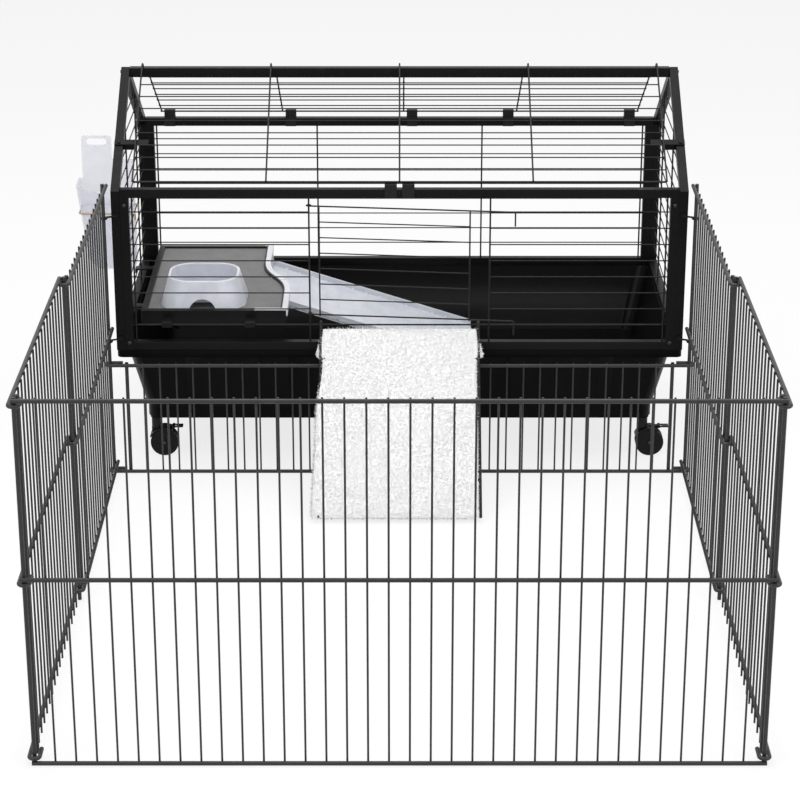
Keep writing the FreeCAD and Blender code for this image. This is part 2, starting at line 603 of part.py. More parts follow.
# Casters: a stemmed yoke between two wheels, trailing to the right
for name, (x, y) in caster_spots.items():
    axle_x = x + CASTER_TRAIL
    web_top = boss_z - SEAT_GAP
    stem = Part.makeCylinder(STEM_RADIUS, STEM_LENGTH + SEAT_GAP, V(x, y, web_top - SEAT_GAP))
    neck_z = 2 * WHEEL_RADIUS + FENDER_WALL
    neck = Part.makeCylinder(NECK_RADIUS, web_top - neck_z, V(x, y, neck_z))
    half = WEB_WIDTH / 2
    web = Part.makeCylinder(WHEEL_RADIUS - FENDER_WALL, WEB_WIDTH, V(axle_x, y - half, WHEEL_RADIUS), Y_AXIS)
    web = web.fuse(box(x - NECK_RADIUS, axle_x, y - half, y + half, WHEEL_RADIUS, neck_z))
    reach = half + RUN_GAP + WHEEL_WIDTH
    outer = WHEEL_RADIUS + RUN_GAP + FENDER_WALL
    fender = Part.makeCylinder(outer, 2 * reach, V(axle_x, y - reach, WHEEL_RADIUS), Y_AXIS)
    fender = fender.cut(Part.makeCylinder(WHEEL_RADIUS + RUN_GAP, 2 * (reach + OVERRUN),
                                          V(axle_x, y - reach - OVERRUN, WHEEL_RADIUS), Y_AXIS))
    fender = fender.common(box(axle_x - outer, axle_x + outer / 2, y - reach, y + reach,
                               WHEEL_RADIUS + HUB_RADIUS, 2 * outer + WHEEL_RADIUS))
    yoke = neck.multiFuse([stem, web, fender])
    if name.startswith("front"):
        pin_x = axle_x + outer / 2 + PEDAL_WALL
        pin_z = WHEEL_RADIUS + outer
        arm = box(axle_x, pin_x + PEDAL_WALL, y - half, y + half, pin_z - 2 * PEDAL_WALL + PEDAL_PIN_RADIUS,
                  pin_z + PEDAL_PIN_RADIUS + SEAT_GAP)
        arm = arm.cut(Part.makeCylinder(outer - FENDER_WALL, 2 * reach, V(axle_x, y - reach, WHEEL_RADIUS),
                                        Y_AXIS))
        cheek_y = half + RUN_GAP
        pin = Part.makeCylinder(PEDAL_PIN_RADIUS, 2 * (cheek_y + PEDAL_WALL),
                                V(pin_x, y - cheek_y - PEDAL_WALL, pin_z), Y_AXIS)
        yoke = yoke.multiFuse([arm, pin])
        pedal = box(pin_x + 2 * PEDAL_WALL, pin_x + PEDAL_LENGTH, y - cheek_y - PEDAL_WALL,
                    y + cheek_y + PEDAL_WALL, pin_z - PEDAL_WALL / 2, pin_z + PEDAL_WALL / 2)
        for cheek in (y - cheek_y - PEDAL_WALL, y + cheek_y):
            ear = Part.makeCylinder(PEDAL_PIN_RADIUS + PEDAL_WALL / 2, PEDAL_WALL, V(pin_x, cheek, pin_z),
                                    Y_AXIS)
            ear = ear.fuse(box(pin_x, pin_x + 2 * PEDAL_WALL + OVERRUN, cheek, cheek + PEDAL_WALL,
                               pin_z - PEDAL_WALL / 2, pin_z + PEDAL_WALL / 2))
            pedal = pedal.fuse(ear)
        pin_bore = Part.makeCylinder(PEDAL_PIN_RADIUS + SEAT_GAP, 4 * reach,
                                     V(pin_x, y - 2 * reach, pin_z), Y_AXIS)
        PARTS["caster_pedal_" + name] = pedal.cut(pin_bore).removeSplitter()
    bore = Part.makeCylinder(AXLE_RADIUS, 2 * reach, V(axle_x, y - reach, WHEEL_RADIUS), Y_AXIS)
    PARTS["caster_yoke_" + name] = yoke.cut(bore).removeSplitter()
    PARTS["caster_axle_" + name] = bore
    wheels = []
    for side in (-1, 1):
        near = y + side * (half + RUN_GAP)
        disc = Part.makeCylinder(WHEEL_RADIUS, WHEEL_WIDTH, V(axle_x, near, WHEEL_RADIUS), V(0, side, 0))
        rims = [e for e in disc.Edges if e.Closed]
        disc = disc.makeFillet(WHEEL_ROUND, rims)
        face_y = near + side * (WHEEL_WIDTH - HUB_DEPTH)
        disc = disc.cut(Part.makeCylinder(HUB_RADIUS, HUB_DEPTH + OVERRUN, V(axle_x, face_y, WHEEL_RADIUS),
                                          V(0, side, 0)))
        axle_bore = Part.makeCylinder(AXLE_RADIUS + SEAT_GAP, 2 * WHEEL_WIDTH,
                                      V(axle_x, near - side * OVERRUN, WHEEL_RADIUS), V(0, side, 0))
        wheels.append(disc.cut(axle_bore))
    PARTS["caster_wheels_" + name] = Part.makeCompound(wheels)

# Platform: a moulded plate with an apron, its right edge an S from the wide front to the narrow back
def deck_face(grow, z):
    y0, y1 = DECK_FRONT - grow, DECK_BACK + grow
    left, wide, slim = DECK_LEFT - grow, DECK_RIGHT_FRONT + grow, DECK_RIGHT_BACK + grow
    span = DECK_BACK - DECK_FRONT
    bend0, bend1 = (DECK_FRONT + span * share for share in DECK_SWING_SHARES)
    curve = Part.BezierCurve()
    middle = (bend0 + bend1) / 2
    curve.setPoles([V(wide, bend0, z), V(wide, middle, z), V(slim, middle, z), V(slim, bend1, z)])
    rest = [V(slim, bend1, z), V(slim, y1, z), V(left, y1, z), V(left, y0, z), V(wide, y0, z),
            V(wide, bend0, z)]
    return Part.Face(Part.Wire([curve.toShape()] + Part.makePolygon(rest).Edges))


def deck_block(grow, z0, z1):
    return deck_face(grow, z0).extrude(Z_AXIS * (z1 - z0))


deck_foot = DECK_Z - DECK_APRON
deck = deck_block(0.0, deck_foot, DECK_Z)
deck = deck.cut(deck_block(-DECK_WALL, deck_foot - OVERRUN, DECK_Z - DECK_WALL - DECK_RECESS))
deck = deck.cut(deck_block(-DECK_BORDER, DECK_Z - DECK_RECESS, DECK_Z + OVERRUN))
tab_z = SILL_Z + EDGE_WIRE_RADIUS + SEAT_GAP
for share in DECK_TAB_SHARES:
    x = DECK_LEFT + (DECK_RIGHT_FRONT - DECK_LEFT) * share
    lip_y = sill_y - EDGE_WIRE_RADIUS - SEAT_GAP
    tab = box(x, x + TAB_WIDTH, lip_y - TAB_THICK, DECK_FRONT, tab_z, tab_z + TAB_THICK)
    tab = tab.fuse(box(x, x + TAB_WIDTH, lip_y - TAB_THICK, lip_y, tab_z - 2 * TAB_THICK, tab_z))
    deck = deck.fuse(tab)
wire_x = -(HALF_W - TUBE / 2)
side_tab_z = SILL_Z + WIRE_RADIUS + SEAT_GAP
for share in DECK_TAB_SHARES:
    y = DECK_FRONT + (DECK_BACK - DECK_FRONT) * share
    lip_x = wire_x - WIRE_RADIUS - SEAT_GAP
    tab = box(lip_x - TAB_THICK, DECK_LEFT, y, y + TAB_WIDTH, side_tab_z, side_tab_z + TAB_THICK)
    tab = tab.fuse(box(lip_x - TAB_THICK, lip_x, y, y + TAB_WIDTH, side_tab_z - 2 * TAB_THICK, side_tab_z))
    deck = deck.fuse(tab)
PARTS["platform"] = deck.removeSplitter()

# Bowl: a flared skirt with a finger arch and a dish let into its top
def bowl_wire(size, shrink, z):
    return rounded_wire(size[0] / 2 - shrink, size[1] / 2 - shrink, BOWL_CORNER - shrink, z, BOWL_X, BOWL_Y)


bowl_z = DECK_Z - DECK_RECESS + SEAT_GAP
bowl_top = bowl_z + BOWL_HEIGHT
body = Part.makeLoft([bowl_wire(BOWL_BASE, 0.0, bowl_z), bowl_wire(BOWL_TOP, 0.0, bowl_top)], True, True)
under = Part.makeLoft([bowl_wire(BOWL_BASE, BOWL_WALL, bowl_z),
                       bowl_wire(BOWL_TOP, BOWL_WALL, bowl_top)], True, True)
dish_wall = bowl_top - BOWL_DISH_DEPTH
dish = Part.makeLoft([bowl_wire(BOWL_TOP, 4 * BOWL_WALL, dish_wall),
                      bowl_wire(BOWL_TOP, 2 * BOWL_WALL, bowl_top)], True, True)
dish_out = Part.makeLoft([bowl_wire(BOWL_TOP, 3 * BOWL_WALL, dish_wall - BOWL_WALL),
                          bowl_wire(BOWL_TOP, BOWL_WALL, bowl_top)], True, True)
under = under.cut(dish_out).cut(box(BOWL_X - BOWL_BASE[0], BOWL_X + BOWL_BASE[0], BOWL_Y - BOWL_BASE[1],
                                    BOWL_Y + BOWL_BASE[1], bowl_top - BOWL_WALL, bowl_top + OVERRUN))
notch_z = bowl_z - BOWL_NOTCH_RADIUS + BOWL_NOTCH_HEIGHT
notch = Part.makeCylinder(BOWL_NOTCH_RADIUS, BOWL_BASE[1] / 2,
                          V(BOWL_X, BOWL_Y - BOWL_BASE[1] / 2 - OVERRUN, notch_z), Y_AXIS)
PARTS["bowl"] = body.cut(under).cut(dish).cut(notch.cut(dish_out)).removeSplitter()

# Inner ramp: a ribbed channel that hooks on the platform's S edge and stands on the tray's floor
slide_start = DECK_RIGHT_BACK
slide_drop = (SLIDE_END_X - slide_start) * SLIDE_DROP_SHARE


def slide_slab(y0, y1, low, high):
    ends = [V(slide_start, y0, SLIDE_TOP_Z + low), V(SLIDE_END_X, y0, SLIDE_TOP_Z - slide_drop + low),
            V(SLIDE_END_X, y0, SLIDE_TOP_Z - slide_drop + high), V(slide_start, y0, SLIDE_TOP_Z + high)]
    return Part.Face(Part.makePolygon(ends + ends[:1])).extrude(Y_AXIS * (y1 - y0))


slide = slide_slab(SLIDE_NEAR_Y, SLIDE_FAR_Y, -SLIDE_THICK, 0.0)
for y in (SLIDE_NEAR_Y, SLIDE_FAR_Y - SLIDE_WALL):
    slide = slide.fuse(slide_slab(y, y + SLIDE_WALL, 0.0, SLIDE_FLANGE))
for i in range(1, SLIDE_RIBS + 1):
    x = slide_start + (SLIDE_END_X - slide_start) * i / (SLIDE_RIBS + 1)
    strip = box(x, x + SLIDE_RIB_WIDTH, SLIDE_NEAR_Y + SLIDE_WALL, SLIDE_FAR_Y - SLIDE_WALL, 0.0, RIDGE_Z)
    slide = slide.fuse(slide_slab(SLIDE_NEAR_Y, SLIDE_FAR_Y, 0.0, SLIDE_RIB_HEIGHT).common(strip))
foot_top = SLIDE_TOP_Z - slide_drop
slide = slide.fuse(box(SLIDE_END_X - SLIDE_WALL, SLIDE_END_X, SLIDE_NEAR_Y, SLIDE_FAR_Y,
                       FLOOR_TOP_Z + SEAT_GAP, foot_top))
slide = slide.cut(deck_block(SEAT_GAP, deck_foot - DECK_APRON, DECK_Z + OVERRUN))
hook_zone = box(DECK_RIGHT_BACK - 2 * SLIDE_LIP, SLIDE_END_X, SLIDE_NEAR_Y, SLIDE_FAR_Y, 0.0, RIDGE_Z)
riser = deck_block(SEAT_GAP + SLIDE_WALL, deck_foot - SLIDE_FLANGE, DECK_Z + SEAT_GAP + SLIDE_WALL)
riser = riser.cut(deck_block(SEAT_GAP, deck_foot - SLIDE_FLANGE - OVERRUN, DECK_Z + SEAT_GAP))
riser = riser.cut(deck_block(-SLIDE_LIP, DECK_Z, DECK_Z + SLIDE_FLANGE)).common(hook_zone)
lip_zone = box(DECK_RIGHT_BACK - 2 * SLIDE_LIP, SLIDE_END_X, DECK_FRONT, DECK_BACK,
               DECK_Z - SLIDE_FLANGE, RIDGE_Z)
lip = deck_block(SEAT_GAP + SLIDE_WALL, DECK_Z - SLIDE_FLANGE, DECK_Z + SEAT_GAP + SLIDE_WALL)
lip = lip.cut(deck_block(SEAT_GAP, DECK_Z - SLIDE_FLANGE - OVERRUN, DECK_Z + SEAT_GAP))
lip = lip.cut(deck_block(-SLIDE_LIP, DECK_Z, DECK_Z + SLIDE_FLANGE)).common(lip_zone)
PARTS["inner_ramp"] = slide.multiFuse([riser, lip]).removeSplitter()

# Outer ramp: side rods hook on the sill wire, rungs tie them, the plush cover wraps them
sill = V(0, sill_y, SILL_Z)
foot = V(0, RAMP_FOOT_Y, RAMP_ROD_RADIUS)
ramp_arm = foot.sub(sill)
ramp_tilt = math.atan2(-ramp_arm.z, -ramp_arm.y) - math.asin(RAMP_HOOK_RADIUS / ramp_arm.Length)
down_ramp = V(0, -math.cos(ramp_tilt), -math.sin(ramp_tilt))
off_ramp = V(0, -math.sin(ramp_tilt), math.cos(ramp_tilt))
ramp_top = sill.add(off_ramp * RAMP_HOOK_RADIUS)
ramp_run = foot.sub(ramp_top).Length
rods = []
for side in (-1, 1):
    shift = V(side * RAMP_HALF_WIDTH, 0, 0)
    hook = turn(sill.add(shift), off_ramp * RAMP_HOOK_RADIUS, X_AXIS, -RAMP_HOOK_TURN)
    run = Part.LineSegment(ramp_top.add(shift), ramp_top.add(down_ramp * ramp_run).add(shift)).toShape()
    rods.append(swept([arc(hook[::-1]), run], RAMP_ROD_RADIUS))
for i in range(RAMP_RUNGS):
    at = RAMP_COVER_START + (ramp_run - RAMP_COVER_START - RAMP_COVER_END) * (i + MIDDLE_SHARE) / RAMP_RUNGS
    spot = ramp_top.add(down_ramp * at)
    rods.append(rod(spot.sub(X_AXIS * RAMP_HALF_WIDTH), spot.add(X_AXIS * RAMP_HALF_WIDTH), RAMP_ROD_RADIUS))
PARTS["ramp_frame"] = rods[0].multiFuse(rods[1:])

cover_half = RAMP_COVER_THICK / 2
edge_half = RAMP_COVER_EDGE / 2


def cover_section(at):
    spot = ramp_top.add(down_ramp * at)
    wide = RAMP_COVER_HALF_WIDTH
    left, right = spot.sub(X_AXIS * wide), spot.add(X_AXIS * wide)
    top = cover_half + RAMP_COVER_CROWN
    edge = off_ramp * edge_half
    edges = [arc([left.add(edge), spot.add(off_ramp * top), right.add(edge)]),
             Part.LineSegment(right.add(edge), right.sub(edge)).toShape(),
             arc([right.sub(edge), spot.sub(off_ramp * cover_half), left.sub(edge)]),
             Part.LineSegment(left.sub(edge), left.add(edge)).toShape()]
    return Part.Wire(edges)


cover = Part.makeLoft([cover_section(RAMP_COVER_START), cover_section(ramp_run - RAMP_COVER_END)], True, True)
gap_rods = []
for i in range(RAMP_RUNGS):
    at = RAMP_COVER_START + (ramp_run - RAMP_COVER_START - RAMP_COVER_END) * (i + MIDDLE_SHARE) / RAMP_RUNGS
    spot = ramp_top.add(down_ramp * at)
    gap_rods.append(rod(spot.sub(X_AXIS * HALF_W), spot.add(X_AXIS * HALF_W), RAMP_ROD_RADIUS + SEAT_GAP))
PARTS["ramp_cover"] = cover.cut(Part.makeCompound(gap_rods))

# Hay feeder: an open hopper outside the left grille, carried by a bent wire hooked on the grille
hay_back = wire_x - WIRE_RADIUS - SEAT_GAP
hay_out = -HALF_W - HAY_REACH


def hopper(shrink, lift):
    """The pouch, tapering to its foot; its top edge falls from the lip towards the cage."""
    lip_z = HAY_Z + HAY_LIP_HEIGHT
    outline = [V(hay_back - shrink, 0, HAY_Z + shrink), V(hay_back - HAY_FOOT + shrink, 0, HAY_Z + shrink),
               V(hay_out + shrink, 0, lip_z), V(hay_back - shrink, 0, lip_z - HAY_LIP_FALL)]
    if lift:
        outline[3:] = [V(hay_out + shrink, 0, lip_z + lift), V(hay_back - shrink, 0, lip_z + lift)]
    face = Part.Face(Part.makePolygon(outline + outline[:1]))
    block = face.extrude(Y_AXIS * (HAY_LENGTH - 2 * shrink))
    block.translate(V(0, HAY_FRONT_Y + shrink, 0))
    foot = [e for e in block.Edges if e.BoundBox.XMax < hay_back - HAY_FOOT / 2
            and e.BoundBox.ZMax < HAY_Z + 2 * HAY_WALL and e.BoundBox.YLength > HAY_WALL]
    block = block.makeFillet(HAY_FOOT_ROUND - shrink, foot)
    ends = [e for e in block.Edges if e.BoundBox.XMax < hay_back - 2 * HAY_WALL
            and e.BoundBox.YLength < SEAT_GAP and e.BoundBox.ZLength > HAY_FOOT_ROUND * 2]
    return block.makeFillet(HAY_CORNER - shrink, ends)


hay = hopper(0.0, 0.0).cut(hopper(HAY_WALL, HAY_HEIGHT))
plate_y = HAY_FRONT_Y + HAY_LENGTH - HAY_WALL
plate_foot = HAY_Z + HAY_LIP_HEIGHT - HAY_LIP_FALL - HAY_WALL
plate_x = hay_out + HAY_CORNER + HAY_WALL
shoulder_z = HAY_Z + HAY_SHOULDER_HEIGHT
tab = box(plate_x, plate_x + HAY_TAB, plate_y, plate_y + HAY_WALL, plate_foot, HAY_Z + HAY_HEIGHT)
corners = [e for e in tab.Edges if e.BoundBox.YLength > HAY_WALL / 2 and e.BoundBox.ZMin > shoulder_z]
tab = tab.makeFillet(HAY_TAB_CORNER, corners)
plate = tab.fuse(box(plate_x, hay_back, plate_y, plate_y + HAY_WALL, plate_foot, shoulder_z))
slot_z = HAY_Z + HAY_HEIGHT - HAY_SLOT_DROP
slot_x = plate_x + HAY_TAB / 2
slot_end = HAY_SLOT[1] / 2
slot_half = HAY_SLOT[0] / 2 - slot_end
slot = box(slot_x - slot_half, slot_x + slot_half, plate_y - OVERRUN, plate_y + HAY_WALL + OVERRUN,
           slot_z - slot_end, slot_z + slot_end)
for x in (slot_x - slot_half, slot_x + slot_half):
    slot = slot.fuse(Part.makeCylinder(slot_end, HAY_WALL + 2 * OVERRUN, V(x, plate_y - OVERRUN, slot_z),
                                       Y_AXIS))
hay = hay.fuse(plate.cut(slot))
window = HAY_LENGTH * HAY_WINDOW_SHARE / 2
hay_mid = HAY_FRONT_Y + HAY_LENGTH / 2
window_foot, window_head = (HAY_Z + HAY_LIP_HEIGHT * share for share in HAY_WINDOW_Z_SHARES)
hay = hay.cut(box(hay_back - HAY_WALL - OVERRUN, hay_back + OVERRUN, hay_mid - window, hay_mid + window,
                  window_foot, window_head))
PARTS["hay_hopper"] = hay.removeSplitter()

hook_z = row_z(HAY_HOOK_ROW) + WIRE_RADIUS + HAY_WIRE_RADIUS + SEAT_GAP
hook_x = wire_x + WIRE_RADIUS + HAY_WIRE_RADIUS + SEAT_GAP
lip_share = (hook_z - HAY_Z) / HAY_LIP_HEIGHT
foot_x = hay_back - HAY_FOOT
loop_x = foot_x + (hay_out - foot_x) * lip_share - HAY_WIRE_RADIUS - 2 * SEAT_GAP
loop_y0 = HAY_FRONT_Y - HAY_WIRE_RADIUS - SEAT_GAP
loop_y1 = HAY_FRONT_Y + HAY_LENGTH + HAY_WIRE_RADIUS + SEAT_GAP
hook_foot = hook_z - HAY_HOOK_DROP
loop = [V(hook_x, loop_y0, hook_z), V(loop_x, loop_y0, hook_z), V(loop_x, loop_y1, hook_z),
        V(hook_x, loop_y1, hook_z)]
ends = [rod(V(hook_x, y, hook_foot), V(hook_x, y, hook_z), HAY_WIRE_RADIUS) for y in (loop_y0, loop_y1)]
hanger = bent_rod(loop, HAY_WIRE_RADIUS, HAY_CORNER + HAY_WIRE_RADIUS + SEAT_GAP)
PARTS["hay_hanger"] = hanger.multiFuse(ends).removeSplitter()

# Playpen panels of welded rod and wire; each side rail ends in a loop round the next panel's post
front_y = PEN_REAR_Y - 2 * PEN_PANEL


def pen_levels(step, height=PEN_HEIGHT):
    return (PEN_ROD_RADIUS + step, height * PEN_MID_SHARE - step, height - PEN_ROD_RADIUS - step)


def pen_post(x, y, height=PEN_HEIGHT):
    return rod(V(x, y, 0.0), V(x, y, height), PEN_ROD_RADIUS)


wire_back = PEN_ROD_RADIUS + PEN_WIRE_RADIUS + WELD_GAP
rail_y = front_y - 2 * PEN_ROD_RADIUS - WELD_GAP
wires = [pen_post(-PEN_X, front_y), pen_post(PEN_X, front_y)]
rail_x = PEN_X + PEN_ROD_RADIUS
for z in pen_levels(0.0):
    wires.append(rod(V(-rail_x, rail_y, z), V(rail_x, rail_y, z), PEN_ROD_RADIUS))
for i in range(1, PEN_FRONT_COUNT):
    x = -PEN_X + PEN_GAP * i
    wires.append(rod(V(x, rail_y + wire_back, 0.0), V(x, rail_y + wire_back, PEN_HEIGHT), PEN_WIRE_RADIUS))
PARTS["pen_front_panel"] = Part.makeCompound(wires)


def looped_rail(start, post, side, z):
    """A rail that runs forward from its own post, round the next post and a little way back."""
    arm = V(side * PEN_LOOP_RADIUS, 0, 0)
    bend = turn(V(post.x, post.y, z), arm, Z_AXIS, -180.0 * side)
    run = Part.LineSegment(V(post.x + side * PEN_SEAT, start, z), bend[0]).toShape()
    tail = Part.LineSegment(bend[2], bend[2].add(V(0, PEN_GAP * PEN_RETURN_SHARE, 0))).toShape()
    return swept([run, arc(bend), tail], PEN_ROD_RADIUS)


for side, name in ((-1, "left"), (1, "right")):
    for panel, rear, rail_side, step in (("far", PEN_REAR_Y, -side, 2 * PEN_STEP),
                                         ("near", PEN_REAR_Y - PEN_PANEL, side, PEN_STEP)):
        post_x = side * PEN_X
        next_post = V(post_x, rear - PEN_PANEL, 0)
        height = PEN_HEIGHT - step
        lean = (PEN_LOOP_RADIUS - PEN_SEAT) / (PEN_PANEL + PEN_ROD_RADIUS)
        own_y = rear - PEN_SIDE_COUNT * PEN_GAP
        own_x = post_x + rail_side * lean * (rear + PEN_ROD_RADIUS - own_y)
        wires = [pen_post(post_x, rear, height), pen_post(own_x, own_y, height)]
        for z in pen_levels(step):
            wires.append(looped_rail(rear + PEN_ROD_RADIUS, next_post, rail_side, z))
        for i in range(1, PEN_SIDE_COUNT):
            y = rear - PEN_GAP * i
            x = post_x + rail_side * (PEN_SEAT + lean * (rear + PEN_ROD_RADIUS - y) - wire_back)
            wires.append(rod(V(x, y, 0.0), V(x, y, height), PEN_WIRE_RADIUS))
        PARTS["pen_%s_%s" % (name, panel)] = Part.makeCompound(wires)

# Low panel under the cage's front: looped at both ends round the far panels' rear posts
low_half = PEN_LOW_COUNT * PEN_GAP / 2
wires = []
for z in (PEN_ROD_RADIUS, PEN_LOW_HEIGHT - PEN_ROD_RADIUS):
    edges = []
    centres = [V(-PEN_X, PEN_REAR_Y, z), V(PEN_X, PEN_REAR_Y, z)]
    left = turn(centres[0], V(0, PEN_LOOP_RADIUS, 0), Z_AXIS, 180.0)
    right = turn(centres[1], V(0, -PEN_LOOP_RADIUS, 0), Z_AXIS, 180.0)
    tail = PEN_GAP * PEN_RETURN_SHARE
    edges.append(Part.LineSegment(left[0].add(V(tail, 0, 0)), left[0]).toShape())
    edges.append(arc(left))
    edges.append(Part.LineSegment(left[2], right[0]).toShape())
    edges.append(arc(right))
    edges.append(Part.LineSegment(right[2], right[2].sub(V(tail, 0, 0))).toShape())
    wires.append(swept(edges, PEN_ROD_RADIUS))
low_rail_y = PEN_REAR_Y - PEN_LOOP_RADIUS
for i in range(PEN_LOW_COUNT + 1):
    radius = PEN_ROD_RADIUS if i in (0, PEN_LOW_COUNT) else PEN_WIRE_RADIUS
    y = low_rail_y + PEN_ROD_RADIUS + radius + WELD_GAP
    x = -low_half + PEN_GAP * i
    wires.append(rod(V(x, y, 0.0), V(x, y, PEN_LOW_HEIGHT), radius))
PARTS["pen_low_panel"] = Part.makeCompound(wires)

# Eyes on the cage's front uprights that hold the far panels' rear posts
eyes = []
for side in (-1, 1):
    for share in EYE_Z_SHARES:
        z = PEN_LOW_HEIGHT + (PEN_HEIGHT - PEN_LOW_HEIGHT) * share
        ring = PEN_ROD_RADIUS + PEN_LOOP_GAP / 2 + EYE_WIRE_RADIUS
        start = V(side * (HALF_W - TUBE / 2), -EYE_PLATE, z)
        centre = V(side * PEN_X, PEN_REAR_Y, z)
        reach = centre.sub(start).Length
        aside = side * math.degrees(math.asin(ring / reach))
        aim = FreeCAD.Rotation(Z_AXIS, aside).multVec(centre.sub(start).normalize())
        touch = start.add(aim * math.sqrt(reach ** 2 - ring ** 2))
        round_post = turn(centre, touch.sub(centre), Z_AXIS, -side * EYE_TURN)
        eye = swept([Part.LineSegment(start, touch).toShape(), arc(round_post)], EYE_WIRE_RADIUS)
        plate = box(start.x - 2 * EYE_PLATE, start.x + 2 * EYE_PLATE, -EYE_PLATE, 0.0,
                    z - 2 * EYE_PLATE, z + 2 * EYE_PLATE)
        eyes.append(eye.fuse(plate))
PARTS["pen_eyes"] = Part.makeCompound(eyes)

# The origin goes to the middle of the whole footprint, on the floor
overall = Part.makeCompound(list(PARTS.values())).optimalBoundingBox(False)
SHIFT = V(-overall.Center.x, -overall.Center.y, -overall.ZMin)
os.makedirs("parts", exist_ok=True)
for name, shape in PARTS.items():
    shape.translate(SHIFT)
    shape.exportStep("parts/%s.step" % name)
print(len(PARTS), "nodes", "shift", SHIFT, "size", overall.XLength, overall.YLength, overall.ZLength)
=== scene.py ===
import math
import bmesh
import bpy
from mathutils import Matrix, Vector
from mathutils.noise import noise


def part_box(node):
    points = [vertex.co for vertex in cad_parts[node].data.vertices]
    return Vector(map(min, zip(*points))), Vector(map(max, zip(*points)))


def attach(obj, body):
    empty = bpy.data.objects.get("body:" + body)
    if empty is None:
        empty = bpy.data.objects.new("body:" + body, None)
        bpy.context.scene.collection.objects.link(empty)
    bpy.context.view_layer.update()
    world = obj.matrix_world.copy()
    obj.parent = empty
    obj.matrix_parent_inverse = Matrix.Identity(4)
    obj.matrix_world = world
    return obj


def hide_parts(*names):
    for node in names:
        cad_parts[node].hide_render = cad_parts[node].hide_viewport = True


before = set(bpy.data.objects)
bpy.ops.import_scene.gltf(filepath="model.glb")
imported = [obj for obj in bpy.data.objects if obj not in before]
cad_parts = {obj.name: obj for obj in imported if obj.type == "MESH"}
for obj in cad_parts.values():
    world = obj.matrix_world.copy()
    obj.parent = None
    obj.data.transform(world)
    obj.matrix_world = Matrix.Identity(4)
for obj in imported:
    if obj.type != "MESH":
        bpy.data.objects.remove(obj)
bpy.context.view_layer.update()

# Tube frame: two gabled ends, a front and a rear yoke, four base rails and the ridge beam.
# Square steel tube, mitred and welded, with its long edges rolled round and a black powder coat.
tray_low, tray_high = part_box("tray")
CAGE_MIDDLE_X = (tray_low[0] + tray_high[0]) / 2
CAGE_FRONT_Y = tray_low[1]
MM = 0.001


def cage(x, y, z):
    """A place measured in millimetres from the middle of the cage's front on the floor."""
    return Vector((CAGE_MIDDLE_X + x * MM, CAGE_FRONT_Y + y * MM, z * MM))


class Finish:
    """A socket of one material's tree. Sums with it add Math nodes; node() adds any other node."""

    def __init__(self, tree, socket=None):
        self.tree = tree
        self.socket = socket

    def node(self, kind, settings=None, sockets=None, out=0):
        made = self.tree.nodes.new(kind)
        for key, value in (settings or {}).items():
            setattr(made, key, value)
        for key, value in (sockets or {}).items():
            if isinstance(value, Finish):
                self.tree.links.new(value.socket, made.inputs[key])
            else:
                made.inputs[key].default_value = value
        return Finish(self.tree, made.outputs[out])

    def sum(self, operation, first, second):
        return self.node("ShaderNodeMath", {"operation": operation}, {0: first, 1: second})

    def __add__(self, other):
        return self.sum("ADD", self, other)

    def __radd__(self, other):
        return self.sum("ADD", other, self)

    def __sub__(self, other):
        return self.sum("SUBTRACT", self, other)

    def __rsub__(self, other):
        return self.sum("SUBTRACT", other, self)

    def __mul__(self, other):
        return self.sum("MULTIPLY", self, other)

    def __rmul__(self, other):
        return self.sum("MULTIPLY", other, self)

    def mixed(self, first, second):
        """The two colours, mixed by this value."""
        return self.node("ShaderNodeMix", {"data_type": "RGBA"}, {0: self, 6: first, 7: second}, 2)

    def clipped(self, low, high):
        """Nought at low, one at high, and held there beyond them."""
        return self.node("ShaderNodeMapRange", None, {0: self, 1: low, 2: high, 3: 0.0, 4: 1.0})


def new_finish(name):
    """A fresh material: the shader to feed, and its object coordinates, ready for sums."""
    material = bpy.data.materials.new(name)
    material.use_nodes = True
    shader = material.node_tree.nodes["Principled BSDF"]
    return material, shader, Finish(material.node_tree).node("ShaderNodeTexCoord", None, None, 3)


def feed(shader, socket, value):
    shader.id_data.links.new(value.socket, shader.inputs[socket])


def grain(place, scale, detail=2.0, roughness=0.5):
    return place.node("ShaderNodeTexNoise", None,
                      {"Vector": place, "Scale": scale, "Detail": detail, "Roughness": roughness})


def bump(shader, height, strength, distance):
    feed(shader, "Normal", height.node("ShaderNodeBump", None,
                                       {"Strength": strength, "Distance": distance, "Height": height}))


def powder_coat(name, dark, light, roughness, gloss):
    """Baked powder: a fine orange peel, faint clouding and rubbed spots that shine a little more."""
    material, shader, place = new_finish(name)
    cloud = grain(place, 9.0, 4.0)
    peel = grain(place, 900.0, 2.0)
    rubbed = grain(place, 38.0, 5.0, 0.65).clipped(0.56, 0.72)
    feed(shader, "Base Color", (cloud * 0.55 + rubbed * 0.45).mixed(dark, light))
    feed(shader, "Roughness", roughness + cloud * 0.12 - rubbed * 0.1)
    shader.inputs["Specular IOR Level"].default_value = gloss
    bump(shader, peel, 0.12, 0.0004)
    return material


def smooth(mesh, degrees):
    mesh.shade_smooth()
    mesh.set_sharp_from_angle(angle=math.radians(degrees))


def placed(name, data):
    """An object of its own in the scene, at the origin."""
    made = bpy.data.objects.new(name, data)
    bpy.context.collection.objects.link(made)
    return made


def finished(piece, body, node):
    """The piece rides on a body and stands for a node, whose own mesh it hides."""
    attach(piece, body)
    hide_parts(node)
    return piece


MERGE_NEAR = 2e-5
FLAT_ANGLE, SHARP_ANGLE, SHADE_ANGLE = 0.6, 30.0, 38.0


